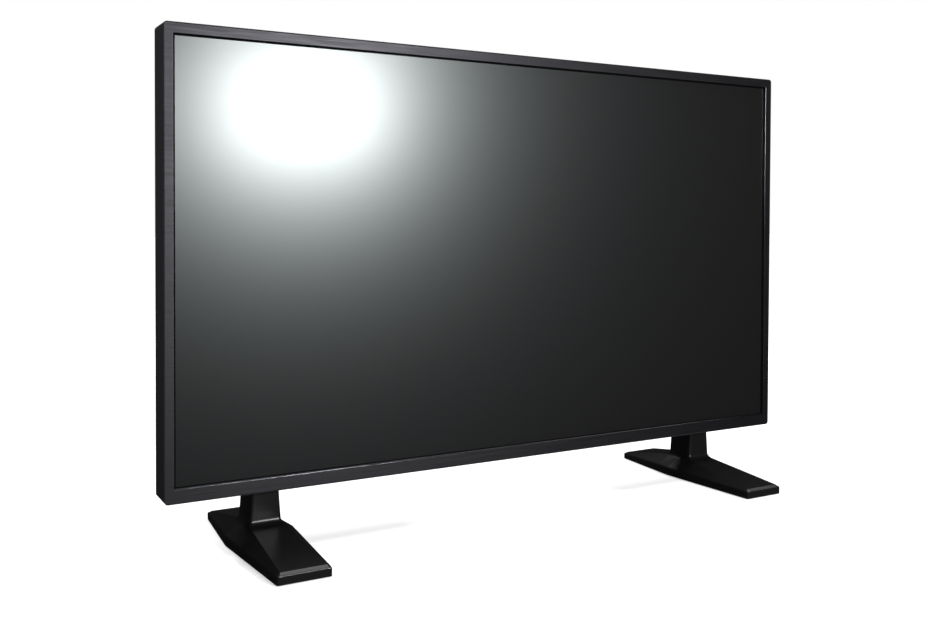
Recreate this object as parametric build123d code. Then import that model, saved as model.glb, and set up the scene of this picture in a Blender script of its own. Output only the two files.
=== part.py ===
from build123d import *
import os

# A flat screen display on two bolted feet. All sizes are in millimetres.
# X runs along the screen, Y from the front to the back, and Z is up.
# The origin lies on the floor, midway between the feet and halfway along them.

# Screen opening and the bezel round it
screen_width = 1042.0
screen_height = 586.0
bezel_side = 14.0
bezel_top = 15.5
bezel_bottom = 19.9
bezel_depth = 49.0
bezel_wall = 2.5
bezel_corner_radius = 5.0
bezel_edge_radius = 0.8
bezel_inner_radius = 2.0
screen_recess = 4.0
lip_thickness = 1.5
lip_gap = 0.3

# Height under the display
ground_clearance = 82.0

# Feet
foot_from_housing = 47.0
foot_length = 322.0
foot_front_setback = 131.0
foot_end_width = 73.0
foot_kink_width = 97.0
foot_kink_from_front = 183.0
foot_rim_front = 12.0
foot_rim_middle = 14.5
foot_rim_rear = 10.0
foot_bevel_length = 5.5
foot_bevel_flare = 1.8
foot_edge_rise = 0.6
foot_edge_radius = 1.0
foot_corner_radius = 3.0
foot_corner_shares = (0.0, 0.13, 0.5)
foot_front_top_width = 62.0
foot_front_top_height = 15.5
foot_rear_top_height = 13.0
foot_wall = 2.5
foot_underside = 1.0
neck_front_from_front = 156.0
neck_depth = 52.0
neck_base_width = 46.0
neck_base_height = 31.0
neck_top_width = 38.6
neck_front_fillet = 9.0
neck_rear_fillet = 6.0
neck_side_fillet = 12.0
neck_flare_sink = 0.1
neck_corner_radius = 4.0
neck_edge_least = 20.0
neck_top_gap = 0.4
neck_reach = 20.0
foot_plate_thickness = 4.0
foot_plate_gap = 0.3
pad_radius = 10.0
pad_height = 3.0
pad_from_end = 24.0
pad_from_middle = 21.0

# Steel post that runs from the foot plate into the display
post_width = 26.0
post_depth = 40.0
post_wall = 3.0
post_insertion = 96.0
post_slot_gap = 1.0
socket_gap = 0.3
socket_wall = 2.0
socket_start = 6.0
socket_plate_width = 96.0
socket_plate_thickness = 2.0
socket_web_thickness = 2.5
stand_bolt_radius = 1.95
stand_bolt_head_radius = 3.5
stand_bolt_head_height = 4.0
stand_bolt_low = 34.0
stand_bolt_pitch = 40.0
stand_well_width = 38.0
stand_well_height = 80.0

# Rear cover
cover_wall = 2.0
cover_gap = 0.3
cover_tongue = 14.0
housing_side_margin = 95.0
housing_above_bushes = 49.3
housing_depth = 43.0
housing_slope = 24.0
housing_edge_radius = 6.0
housing_joint_gap = 0.2
vent_width = 3.0
vent_length = 42.0
vent_pitch = 9.0
vent_count = 34
vent_drop = 34.0
lower_vent_height = 300.0
speaker_slot_width = 3.0
speaker_slot_count = 11
speaker_slot_pitch = 9.0

# Connection bay, open at the bottom and the back
bay_width = 370.0
bay_height = 77.0
bay_step = 3.0
bay_window_margin = 10.0
terminal_plate_thickness = 1.0
terminal_gap = 0.3
mouth_lift = 0.5

# Liquid crystal module, from the front to the back
polariser_thickness = 0.2
glass_thickness = 1.4
mid_frame_ledge = 1.2
prism_sheet_thickness = 0.3
diffuser_sheet_thickness = 0.4
light_guide_thickness = 3.5
reflector_thickness = 0.3
tray_sheet = 1.0
module_clearance = 2.0
module_border_bottom = 9.5
module_frame_sheet = 0.8
module_frame_lap = 1.0
glass_gap = 2.7
tray_gap = 1.0
sheet_gap = 0.5
mid_frame_lap = 1.5
swage_height = 2.0
swage_width = 12.0
swage_heights = (0.3, 0.44, 0.58, 0.72)
gasket_width = 4.0
gasket_setback = 1.0
led_rail_thickness = 1.9
led_board_thickness = 1.2
led_height = 1.2
led_length = 5.0
led_count = 36
led_guide_gap = 0.3
film_count = 12
film_width = 32.0
film_thickness = 0.3
film_gap = 0.15

# Boards behind the module
source_board_gap = 51.0
source_board_height = 20.0
source_board_thickness = 1.2
source_board_drop = 16.0
timing_board_width = 180.0
timing_board_height = 56.0
timing_board_drop = 88.0
timing_standoff = 5.0
timing_shield_depth = 9.0
timing_chip_size = 22.0
board_thickness = 1.6
shield_sheet = 1.0
carrier_sheet = 1.2
carrier_height = 190.0
carrier_standoff = 8.8
carrier_standoff_radius = 4.0
carrier_side_lap = 22.0
main_board_left = -8.0
main_board_width = 184.0
main_board_height = 168.0
power_board_left = -176.0
power_board_width = 148.0
power_board_height = 176.0
board_lift = 2.0
board_hole_inset = 7.0
screw_radius = 1.5
screw_head_radius = 3.0
screw_head_height = 1.8

# What stands on the main board, measured from its lower left corner
heatsink_left = 70.0
heatsink_low = 70.0
heatsink_size = 46.0
heatsink_base = 3.0
heatsink_fin_height = 13.0
heatsink_fin_count = 8
heatsink_fin_thickness = 1.4
processor_margin = 7.5
chip_height = 2.0
memory_left = 18.0
memory_low = 96.0
memory_pitch = 24.0
memory_width = 12.0
memory_length = 20.0
small_capacitor_left = 60.0
small_capacitor_drop = 26.0
small_capacitor_pitch = 24.0
small_capacitor_count = 5
small_capacitor_radius = 4.0
small_capacitor_height = 11.0

# What stands on the power board, measured from its lower left corner
transformer_left = 52.0
transformer_low = 66.0
transformer_pitch = 48.0
transformer_count = 2
transformer_size = 34.0
transformer_depth = 22.0
large_capacitor_left = 118.0
large_capacitor_low = 60.0
large_capacitor_pitch = 30.0
large_capacitor_count = 3
large_capacitor_radius = 9.0
large_capacitor_depth = 28.0
power_connector_height = 10.0
power_sink_offsets = (44.0, 94.0)
power_sink_low = 60.0
power_sink_thickness = 3.0
power_sink_depth = 26.0
power_sink_height = 90.0

# Sockets on the main board
hdmi_width = 15.2
hdmi_height = 6.4
hdmi_depth = 12.0
dvi_width = 38.0
dvi_height = 13.0
dvi_depth = 15.0
vga_width = 31.0
vga_height = 12.5
vga_depth = 15.0
network_width = 16.0
network_height = 13.6
network_depth = 21.0
usb_width = 14.0
usb_height = 7.0
usb_depth = 14.0
jack_width = 10.0
jack_height = 11.0
jack_depth = 14.0
jack_radius = 1.8
jack_nose_radius = 3.0
jack_bore_depth = 12.0
socket_spacing = 6.0
first_socket_x = 8.0
socket_shell = 0.8
network_cavity_width = 12.0
network_cavity_height = 8.0
network_cavity_depth = 14.0
network_cavity_rise = 2.0
d_sub_rim = 2.0
d_sub_step = 5.0
d_sub_nut_radius = 2.2

# Mains inlet and switch
inlet_x = -142.0
inlet_y_from_bay = 18.0
inlet_width = 30.0
inlet_height = 22.0
inlet_length = 28.0
inlet_flange_width = 48.0
inlet_flange_height = 28.0
inlet_flange_thickness = 2.5
inlet_cavity_width = 24.2
inlet_cavity_height = 16.0
inlet_cavity_depth = 18.0
inlet_pin_width = 2.0
inlet_pin_height = 4.0
inlet_pin_spacing = 14.0
inlet_pin_rise = 4.0
mains_lead_radius = 1.5
mains_lead_length = 22.0
switch_x = -86.0
switch_width = 27.0
switch_height = 20.0
switch_length = 20.0
switch_flange_width = 31.0
switch_flange_height = 24.0
switch_flange_thickness = 2.0
rocker_width = 20.0
rocker_height = 13.0
rocker_gap = 0.6
rocker_pocket_depth = 12.0
rocker_pivot_length = 1.5
rocker_thickness = 5.0
rocker_pivot_radius = 1.5
rocker_pivot_gap = 0.05
rocker_tilt = 8.0

# Wall mount
wall_pattern = 400.0
rail_width = 44.0
rail_flange = 12.0
rail_sheet = 1.5
rail_height = 456.0
rail_depth = 29.7
bush_radius = 8.0
bush_hole_radius = 2.5
bush_hole_depth = 20.0
bush_gap = 0.3

# Speakers
speaker_width = 120.0
speaker_height = 46.0
speaker_depth = 31.0
speaker_wall = 2.0
driver_radius = 13.0
driver_frame_thickness = 3.0
driver_magnet_radius = 9.0
driver_depth = 20.0

# Control keys at the right edge of the back
key_names = [
    "energy_key",
    "input_key",
    "volume_down_key",
    "volume_up_key",
    "set_key",
    "menu_key",
    "power_key",
]
key_from_housing = 46.0
key_pitch = 26.0
key_width = 12.0
key_length = 9.0
key_travel = 0.6
key_stand_out = 1.5
key_gap = 0.3
key_flange = 1.5
key_flange_thickness = 1.6
key_stem_radius = 2.0
key_stem_length = 5.0
key_contact_gap = 0.1
key_switch_size = 6.0
key_switch_height = 4.0
key_board_width = 18.0
key_corner_radius = 1.0

# Remote control receiver in the underside
receiver_from_edge = 95.0
receiver_from_front = 8.0
receiver_window_width = 14.0
receiver_window_depth = 7.0
receiver_flange = 1.2
receiver_flange_thickness = 0.8
receiver_gap = 0.1
receiver_board_width = 30.0
receiver_board_depth = 10.0
receiver_board_thickness = 1.0
receiver_can_height = 0.9

# Brackets between the module and the rear cover
bracket_from_housing = 28.0
bracket_width = 24.0
bracket_sheet = 1.5
bracket_foot = 14.0
bracket_edge_inset = 64.0
bracket_middle_drop = 150.0
cover_screw_radius = 2.0
cover_screw_head_radius = 4.0
cover_screw_head_height = 1.6

# Flat cables inside
ribbon_thickness = 0.6
ribbon_width = 34.0
ribbon_overlap = 12.0
ribbon_rise = 24.0
ribbon_fall = 38.0
ribbon_plug_height = 2.5
harness_thickness = 2.0
harness_width = 16.0
harness_rise = 8.0
harness_low = 75.0

# Places worked out from the sizes above
display_width = screen_width + 2 * bezel_side
display_height = screen_height + bezel_top + bezel_bottom
half_display = display_width / 2
display_bottom = ground_clearance
display_top = display_bottom + display_height
display_middle = (display_bottom + display_top) / 2
screen_bottom = display_bottom + bezel_bottom
screen_top = screen_bottom + screen_height
half_screen = screen_width / 2
housing_half = half_display - housing_side_margin
housing_top = display_middle + wall_pattern / 2 + housing_above_bushes
foot_x = housing_half - foot_from_housing
bracket_x = housing_half + bracket_from_housing
key_x = housing_half + key_from_housing
receiver_x = half_display - receiver_from_edge
source_board_length = half_screen - source_board_gap
front_y = foot_front_setback - foot_length / 2
skirt_back = front_y + bezel_depth
back_y = skirt_back + housing_depth
pan_back = skirt_back + housing_joint_gap
pan_inner = pan_back - cover_wall
inner_back = back_y - cover_wall

polariser_y = front_y + screen_recess
glass_y = polariser_y + polariser_thickness
mid_frame_y = glass_y + glass_thickness
prism_y = mid_frame_y + mid_frame_ledge
diffuser_y = prism_y + prism_sheet_thickness
guide_y = diffuser_y + diffuser_sheet_thickness
reflector_y = guide_y + light_guide_thickness
tray_y = reflector_y + reflector_thickness
tray_back = tray_y + tray_sheet

module_half = half_display - bezel_wall - module_clearance
module_top = display_top - bezel_wall - module_clearance
module_bottom = screen_bottom - module_border_bottom
frame_half = module_half - module_frame_sheet
frame_top = module_top - module_frame_sheet
frame_bottom = module_bottom + module_frame_sheet
glass_half = frame_half - glass_gap
glass_top = frame_top - glass_gap
glass_bottom = frame_bottom + glass_gap
tray_half = frame_half - tray_gap
tray_top = frame_top - tray_gap
tray_bottom = frame_bottom + tray_gap

rail_back = tray_back + rail_depth
carrier_back = rail_back + carrier_sheet
board_y = carrier_back + carrier_standoff
board_back = board_y + board_thickness

bay_y = skirt_back + bay_step
bay_top = display_bottom + bay_height
half_bay = bay_width / 2
speaker_x = (half_bay + foot_x - stand_well_width / 2) / 2
plate_bottom = bay_top + cover_wall
plate_top = plate_bottom + terminal_plate_thickness
board_bottom = plate_top + board_lift
mouth_z = bay_top + mouth_lift

foot_front = -foot_length / 2
foot_rear = foot_length / 2
foot_kink = foot_front + foot_kink_from_front
neck_front = foot_front + neck_front_from_front
neck_rear = neck_front + neck_depth
post_middle = (neck_front + neck_rear) / 2
post_front = post_middle - post_depth / 2
post_rear = post_middle + post_depth / 2
post_top = display_bottom + post_insertion
plate_z = pad_height
sleeve_back = post_rear + socket_gap + socket_wall


def block(x0, x1, y0, y1, z0, z1):
    """Return a box between two corners."""
    middle = Pos((x0 + x1) / 2, (y0 + y1) / 2, (z0 + z1) / 2)
    return middle * Box(x1 - x0, y1 - y0, z1 - z0)


def ring(half_out, bottom_out, top_out, half_in, bottom_in, top_in, y0, y1):
    """Return a rectangular frame that stands upright between two planes."""
    outer = block(-half_out, half_out, y0, y1, bottom_out, top_out)
    overrun = y1 - y0
    hole = block(-half_in, half_in, y0 - overrun, y1 + overrun, bottom_in, top_in)
    return outer - hole


def rod_y(x, z, radius, y0, y1):
    """Return a round bar that runs front to back."""
    return Pos(x, (y0 + y1) / 2, z) * Rot(90, 0, 0) * Cylinder(radius, y1 - y0)


def rod_z(x, y, radius, z0, z1):
    """Return an upright round bar."""
    return Pos(x, y, (z0 + z1) / 2) * Cylinder(radius, z1 - z0)


def side_profile(points, x0, x1):
    """Extrude an outline of (y, z) points from x0 to x1."""
    plane = Plane(origin=(x0, 0, 0), x_dir=(0, 1, 0), z_dir=(1, 0, 0))
    return extrude(plane * make_face(Polyline(*points, close=True)), x1 - x0)


def plan_profile(points, z0, z1):
    """Extrude an outline of (x, y) points from z0 to z1."""
    plane = Plane(origin=(0, 0, z0))
    return extrude(plane * make_face(Polyline(*points, close=True)), z1 - z0)


def front_profile(points, y0, y1):
    """Extrude an outline of (x, z) points from y0 to y1."""
    plane = Plane(origin=(0, y1, 0), x_dir=(1, 0, 0), z_dir=(0, -1, 0))
    return extrude(plane * make_face(Polyline(*points, close=True)), y1 - y0)


def rounded_slab(half_width, bottom, top, radius, y0, y1):
    """Return an upright slab with rounded corners as seen from the front."""
    plane = Plane(origin=(0, y1, (bottom + top) / 2), x_dir=(1, 0, 0), z_dir=(0, -1, 0))
    return extrude(plane * RectangleRounded(2 * half_width, top - bottom, radius), y1 - y0)


def group(solids):
    """Keep several separate solids together in one piece list."""
    return Compound(children=[solid.solid() for solid in solids])


# Front bezel
def post_slots():
    """Cutters where the two stand posts pass through the underside."""
    half = post_width / 2 + post_slot_gap
    cutters = []
    for side in (-1, 1):
        x = side * foot_x
        cutters.append(
            block(
                x - half,
                x + half,
                post_front - post_slot_gap,
                post_rear + post_slot_gap,
                display_bottom - cover_wall,
                display_bottom + bezel_wall + cover_gap + 2 * cover_wall,
            )
        )
    return cutters


def receiver_hole(half_width, half_depth, z0, z1):
    """Return a box centred on the remote control receiver."""
    y = front_y + receiver_from_front
    return block(
        receiver_x - half_width,
        receiver_x + half_width,
        y - half_depth,
        y + half_depth,
        z0,
        z1,
    )


def is_opening_edge(edge):
    """Tell whether an edge of the front face borders the screen opening."""
    middle = edge.bounding_box().center()
    past_side = abs(middle.X) > half_screen + bezel_inner_radius
    past_end = not screen_bottom - bezel_inner_radius < middle.Z < screen_top + bezel_inner_radius
    return not past_side and not past_end


def make_front_bezel():
    shell = rounded_slab(
        half_display, display_bottom, display_top, bezel_corner_radius, front_y, skirt_back
    )
    hollow = rounded_slab(
        half_display - bezel_wall,
        display_bottom + bezel_wall,
        display_top - bezel_wall,
        bezel_corner_radius - bezel_wall,
        front_y + bezel_wall,
        skirt_back + bezel_wall,
    )
    shell = shell - hollow
    opening = block(
        -half_screen, half_screen, front_y - bezel_wall, polariser_y, screen_bottom, screen_top
    )
    shell = shell - opening
    lip = ring(
        half_screen + lip_thickness,
        screen_bottom - lip_thickness,
        screen_top + lip_thickness,
        half_screen,
        screen_bottom,
        screen_top,
        front_y + bezel_wall,
        polariser_y - lip_gap,
    )
    shell = shell + lip
    front_edges = shell.edges().group_by(Axis.Y)[0]
    inner_edges = [edge for edge in front_edges if is_opening_edge(edge)]
    outer_edges = [edge for edge in front_edges if not is_opening_edge(edge)]
    shell = fillet(outer_edges, bezel_edge_radius)
    shell = fillet(inner_edges, bezel_inner_radius)
    window = receiver_hole(
        receiver_window_width / 2 + receiver_gap,
        receiver_window_depth / 2 + receiver_gap,
        display_bottom - bezel_wall,
        display_bottom + 2 * bezel_wall,
    )
    return shell - post_slots() - window


def make_screen_gasket():
    half = half_screen + lip_thickness + gasket_setback
    low = screen_bottom - lip_thickness - gasket_setback
    high = screen_top + lip_thickness + gasket_setback
    return ring(
        half + gasket_width,
        low - gasket_width,
        high + gasket_width,
        half,
        low,
        high,
        front_y + bezel_wall,
        polariser_y - module_frame_sheet,
    )


# Liquid crystal module
def panel_slab(y0, y1, inset):
    """Return a full slab of the glass size, less an inset all round."""
    return block(
        -glass_half + inset,
        glass_half - inset,
        y0,
        y1,
        glass_bottom + inset,
        glass_top - inset,
    )


def make_module_front_frame():
    lap = lip_thickness + gasket_setback / 2
    face = ring(
        module_half,
        module_bottom,
        module_top,
        half_screen + lap,
        screen_bottom - lap,
        screen_top + lap,
        polariser_y - module_frame_sheet,
        polariser_y,
    )
    walls = ring(
        module_half,
        module_bottom,
        module_top,
        frame_half,
        frame_bottom,
        frame_top,
        polariser_y,
        tray_y - module_frame_lap,
    )
    return face + walls


def make_module_mid_frame():
    return ring(
        tray_half,
        tray_bottom,
        tray_top,
        half_screen + mid_frame_lap,
        screen_bottom - mid_frame_lap,
        screen_top + mid_frame_lap,
        mid_frame_y,
        prism_y,
    )


def sheet_slab(y0, y1, half, inset):
    """Return a sheet that lies inside the tray walls."""
    return block(
        -half, half, y0, y1, tray_bottom + tray_sheet + inset, tray_top - tray_sheet - inset
    )


def guide_half():
    """Half width of the light guide between the two rows of lamps."""
    stack = led_rail_thickness + led_board_thickness + led_height + led_guide_gap
    return tray_half - tray_sheet - stack


def make_prism_sheet():
    return sheet_slab(prism_y, diffuser_y, tray_half - tray_sheet - sheet_gap, sheet_gap)


def make_diffuser_sheet():
    return sheet_slab(diffuser_y, guide_y, tray_half - tray_sheet - sheet_gap, sheet_gap)


def make_light_guide():
    return sheet_slab(guide_y, reflector_y, guide_half(), sheet_gap)


def make_reflector_sheet():
    return sheet_slab(reflector_y, tray_y, guide_half(), sheet_gap)


def make_led_rails():
    outer = tray_half - tray_sheet
    bars = []
    for side in (-1, 1):
        x0, x1 = sorted((side * outer, side * (outer - led_rail_thickness)))
        low = tray_bottom + tray_sheet + sheet_gap
        high = tray_top - tray_sheet - sheet_gap
        bars.append(block(x0, x1, guide_y, tray_y, low, high))
    return group(bars)


def make_led_strips():
    outer = tray_half - tray_sheet - led_rail_thickness
    low = tray_bottom + tray_sheet + sheet_gap
    high = tray_top - tray_sheet - sheet_gap
    pitch = (high - low) / led_count
    strips = []
    for side in (-1, 1):
        edge = outer - led_board_thickness
        x0, x1 = sorted((side * outer, side * edge))
        strip = block(x0, x1, guide_y, tray_y, low, high)
        lamp0, lamp1 = sorted((side * edge, side * (edge - led_height)))
        lamps = []
        for index in range(led_count):
            z = low + pitch * (index + 0.5)
            lamps.append(
                block(
                    lamp0,
                    lamp1,
                    guide_y + sheet_gap,
                    reflector_y,
                    z - led_length / 2,
                    z + led_length / 2,
                )
            )
        strips.append(strip + lamps)
    return group(strips)


def make_backlight_tray():
    tray = block(-tray_half, tray_half, prism_y, tray_back, tray_bottom, tray_top)
    hollow = block(
        -tray_half + tray_sheet,
        tray_half - tray_sheet,
        prism_y - tray_sheet,
        tray_y,
        tray_bottom + tray_sheet,
        tray_top - tray_sheet,
    )
    swages = []
    inner = wall_pattern / 2 - rail_width
    for fraction in swage_heights:
        z = tray_bottom + fraction * (tray_top - tray_bottom)
        swages.append(
            block(
                -inner,
                inner,
                tray_back,
                tray_back + swage_height,
                z - swage_width / 2,
                z + swage_width / 2,
            )
        )
    return tray - hollow + swages


def make_panel_films():
    """Thin films that bend from the top edge of the glass to the boards behind."""
    low = film_gap + tray_top
    high = low + film_thickness
    front0 = glass_y + glass_thickness / 2
    front1 = front0 + film_thickness
    rear1 = tray_back + film_thickness + film_gap
    rear0 = rear1 - film_thickness
    board_top = tray_top - source_board_drop + film_gap
    outline = [
        (front0, glass_top),
        (front1, glass_top),
        (front1, low),
        (rear0, low),
        (rear0, board_top),
        (rear1, board_top),
        (rear1, high),
        (front0, high),
    ]
    pitch = 2 * half_screen / film_count
    films = []
    for index in range(film_count):
        x = -half_screen + pitch * (index + 0.5)
        films.append(side_profile(outline, x - film_width / 2, x + film_width / 2))
    return group(films)


# Boards behind the module
def make_source_board(side):
    centre = side * half_screen / 2
    top = tray_top - source_board_drop
    board_front = tray_back + film_gap
    return block(
        centre - source_board_length / 2,
        centre + source_board_length / 2,
        board_front,
        board_front + source_board_thickness,
        top - source_board_height,
        top,
    )


def make_timing_board():
    top = tray_top - timing_board_drop
    low = top - timing_board_height
    half = timing_board_width / 2
    front = tray_back + timing_standoff
    board = block(-half, half, front, front + board_thickness, low, top)
    posts = []
    for x in (-half + board_hole_inset, half - board_hole_inset):
        for z in (low + board_hole_inset, top - board_hole_inset):
            posts.append(rod_y(x, z, carrier_standoff_radius, tray_back, front))
    chip = block(
        -timing_chip_size / 2,
        timing_chip_size / 2,
        front + board_thickness,
        front + board_thickness + chip_height,
        low + timing_chip_size / 2,
        low + 3 * timing_chip_size / 2,
    )
    return board + posts + chip


def make_timing_shield():
    """Pressed steel lid over the timing board, open towards the module."""
    top = tray_top - timing_board_drop
    low = top - timing_board_height
    half = timing_board_width / 2
    front = tray_back + timing_standoff + board_thickness
    outer = block(-half, half, front, front + timing_shield_depth, low, top)
    hollow = block(
        -half + shield_sheet,
        half - shield_sheet,
        front - shield_sheet,
        front + timing_shield_depth - shield_sheet,
        low + shield_sheet,
        top - shield_sheet,
    )
    return outer - hollow


def board_corners(left, width, height):
    """Screw places of a board that stands on the terminal plate side."""
    places = []
    for x in (left + board_hole_inset, left + width - board_hole_inset):
        for z in (board_bottom + board_hole_inset, board_bottom + height - board_hole_inset):
            places.append((x, z))
    return places


def all_board_places():
    places = board_corners(main_board_left, main_board_width, main_board_height)
    return places + board_corners(power_board_left, power_board_width, power_board_height)


def bush_places():
    """Wall mount places as (x, z)."""
    places = []
    for x in (-wall_pattern / 2, wall_pattern / 2):
        for z in (display_middle - wall_pattern / 2, display_middle + wall_pattern / 2):
            places.append((x, z))
    return places


def make_board_carrier():
    """Steel plate across the two rails, with pressed stand-offs for the boards."""
    half = wall_pattern / 2 + carrier_side_lap
    plate = block(
        -half, half, rail_back, carrier_back, board_bottom, board_bottom + carrier_height
    )
    cutters = [
        rod_y(x, z, bush_radius + bush_gap, rail_back - rail_sheet, carrier_back + rail_sheet)
        for x, z in bush_places()
    ]
    plate = plate - cutters
    for x, z in all_board_places():
        plate = plate + rod_y(x, z, carrier_standoff_radius, carrier_back, board_y)
        plate = plate - rod_y(x, z, screw_radius, rail_back - rail_sheet, board_y)
    return plate


def drilled_board(left, width, height):
    board = block(
        left, left + width, board_y, board_back, board_bottom, board_bottom + height
    )
    holes = [
        rod_y(x, z, screw_radius, board_y - board_thickness, board_back + board_thickness)
        for x, z in board_corners(left, width, height)
    ]
    return board - holes


def heatsink_place():
    """Left edge and bottom edge of the processor heat sink."""
    return main_board_left + heatsink_left, board_bottom + heatsink_low


def make_main_board():
    board = drilled_board(main_board_left, main_board_width, main_board_height)
    x, z = heatsink_place()
    chip = block(
        x + processor_margin,
        x + heatsink_size - processor_margin,
        board_back,
        board_back + chip_height,
        z + processor_margin,
        z + heatsink_size - processor_margin,
    )
    features = [chip]
    for column in (0, 1):
        low_x = main_board_left + memory_left + column * memory_pitch
        low_z = board_bottom + memory_low
        features.append(
            block(
                low_x,
                low_x + memory_width,
                board_back,
                board_back + chip_height,
                low_z,
                low_z + memory_length,
            )
        )
    for column in range(small_capacitor_count):
        centre_x = main_board_left + small_capacitor_left + column * small_capacitor_pitch
        centre_z = board_bottom + main_board_height - small_capacitor_drop
        features.append(
            rod_y(
                centre_x,
                centre_z,
                small_capacitor_radius,
                board_back,
                board_back + small_capacitor_height,
            )
        )
    return board + features


def make_main_heatsink():
    x, z = heatsink_place()
    base_y = board_back + chip_height
    top_y = base_y + heatsink_base
    sink = block(x, x + heatsink_size, base_y, top_y, z, z + heatsink_size)
    pitch = (heatsink_size - heatsink_fin_thickness) / (heatsink_fin_count - 1)
    fins = []
    for index in range(heatsink_fin_count):
        low = x + index * pitch
        fins.append(
            block(
                low,
                low + heatsink_fin_thickness,
                top_y,
                top_y + heatsink_fin_height,
                z,
                z + heatsink_size,
            )
        )
    return sink + fins


def make_power_board():
    board = drilled_board(power_board_left, power_board_width, power_board_height)
    base_x = power_board_left + transformer_left
    features = []
    for row in range(transformer_count):
        low_z = board_bottom + transformer_low + row * transformer_pitch
        features.append(
            block(
                base_x,
                base_x + transformer_size,
                board_back,
                board_back + transformer_depth,
                low_z,
                low_z + transformer_size,
            )
        )
    for row in range(large_capacitor_count):
        features.append(
            rod_y(
                power_board_left + large_capacitor_left,
                board_bottom + large_capacitor_low + row * large_capacitor_pitch,
                large_capacitor_radius,
                board_back,
                board_back + large_capacitor_depth,
            )
        )
    connector = block(
        inlet_x - inlet_pin_spacing,
        inlet_x + inlet_pin_spacing,
        board_back,
        inlet_centre_y() + 3 * mains_lead_radius,
        inlet_top() + mains_lead_length,
        inlet_top() + mains_lead_length + power_connector_height,
    )
    features.append(connector)
    return board + features


def make_power_heatsinks():
    sinks = []
    for offset in power_sink_offsets:
        x = power_board_left + offset
        sinks.append(
            block(
                x,
                x + power_sink_thickness,
                board_back,
                board_back + power_sink_depth,
                board_bottom + power_sink_low,
                board_bottom + power_sink_low + power_sink_height,
            )
        )
    return group(sinks)


# Sockets, from left to right along the terminal plate
socket_sizes = {
    "hdmi_socket": (hdmi_width, hdmi_height, hdmi_depth),
    "dvi_socket": (dvi_width, dvi_height, dvi_depth),
    "vga_socket": (vga_width, vga_height, vga_depth),
    "network_socket": (network_width, network_height, network_depth),
    "usb_socket": (usb_width, usb_height, usb_depth),
    "audio_jack": (jack_width, jack_height, jack_depth),
}


def socket_places():
    """Left edge of each socket, in the order of the sizes above."""
    places = {}
    x = first_socket_x
    for name, (width, _, _) in socket_sizes.items():
        places[name] = x
        x = x + width + socket_spacing
    return places


def socket_block(name):
    """Outer block of a socket, and its left edge, for cutting its cavity."""
    width, height, depth = socket_sizes[name]
    x = socket_places()[name]
    lower = block(x, x + width, board_back, board_back + height, mouth_z, mouth_z + depth)
    return lower, x, width, height, depth


def make_hdmi_socket():
    shell, x, width, height, depth = socket_block("hdmi_socket")
    cavity = block(
        x + socket_shell,
        x + width - socket_shell,
        board_back + socket_shell,
        board_back + height - socket_shell,
        mouth_z - socket_shell,
        mouth_z + depth - 2 * socket_shell,
    )
    middle_y = board_back + height / 2
    tongue = block(
        x + 2 * socket_shell,
        x + width - 2 * socket_shell,
        middle_y - socket_shell / 2,
        middle_y + socket_shell / 2,
        mouth_z + socket_shell,
        mouth_z + depth - socket_shell,
    )
    return shell - cavity + tongue


def make_usb_socket():
    shell, x, width, height, depth = socket_block("usb_socket")
    cavity = block(
        x + socket_shell,
        x + width - socket_shell,
        board_back + socket_shell,
        board_back + height - socket_shell,
        mouth_z - socket_shell,
        mouth_z + depth - 2 * socket_shell,
    )
    tongue = block(
        x + 2 * socket_shell,
        x + width - 2 * socket_shell,
        board_back + 2 * socket_shell,
        board_back + 4 * socket_shell,
        mouth_z + socket_shell,
        mouth_z + depth - socket_shell,
    )
    return shell - cavity + tongue


def make_network_socket():
    shell, x, width, height, depth = socket_block("network_socket")
    middle = x + width / 2
    low_y = board_back + network_cavity_rise
    cavity = block(
        middle - network_cavity_width / 2,
        middle + network_cavity_width / 2,
        low_y,
        low_y + network_cavity_height,
        mouth_z - network_cavity_rise,
        mouth_z + network_cavity_depth,
    )
    latch_half = network_cavity_width / 4
    latch = block(
        middle - latch_half,
        middle + latch_half,
        low_y + network_cavity_height,
        low_y + network_cavity_height + network_cavity_rise,
        mouth_z - network_cavity_rise,
        mouth_z + network_cavity_depth,
    )
    return shell - cavity - latch


def make_d_sub_socket(name):
    """Female video socket: a flange with a raised shell and two hexagon nuts."""
    shell, x, width, height, depth = socket_block(name)
    front = block(
        x,
        x + width,
        board_back,
        board_back + height,
        mouth_z - d_sub_rim,
        mouth_z + d_sub_step,
    )
    waist_half = (width - 4 * d_sub_nut_radius) / 2 - d_sub_rim
    middle = x + width / 2
    raised = block(
        middle - waist_half,
        middle + waist_half,
        board_back + d_sub_rim,
        board_back + height - d_sub_rim,
        mouth_z - d_sub_rim,
        mouth_z + d_sub_step,
    )
    body = shell - front + raised
    middle_y = board_back + height / 2
    nuts = []
    for centre_x in (x + d_sub_nut_radius, x + width - d_sub_nut_radius):
        nuts.append(
            rod_z(centre_x, middle_y, d_sub_nut_radius, mouth_z, mouth_z + d_sub_step)
        )
    return body + nuts


def jack_rod(radius, z0, z1):
    """Rod on the axis of the audio jack."""
    centre_x = socket_places()["audio_jack"] + jack_width / 2
    return rod_z(centre_x, board_back + jack_height / 2, radius, z0, z1)


def make_audio_jack():
    x = socket_places()["audio_jack"]
    body_low = plate_top + terminal_gap
    body = block(
        x, x + jack_width, board_back, board_back + jack_height, body_low, mouth_z + jack_depth
    )
    nose = jack_rod(jack_nose_radius, mouth_z, body_low)
    bore = jack_rod(jack_radius, mouth_z - jack_radius, mouth_z + jack_bore_depth)
    return body + nose - bore


# Mains inlet and switch
def inlet_centre_y():
    return bay_y + inlet_y_from_bay


def inlet_top():
    return plate_bottom - inlet_flange_thickness + inlet_length


def panel_box(x, half_width, half_height, z0, z1):
    """Box centred on the mains row of the terminal plate."""
    y = inlet_centre_y()
    return block(x - half_width, x + half_width, y - half_height, y + half_height, z0, z1)


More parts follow.
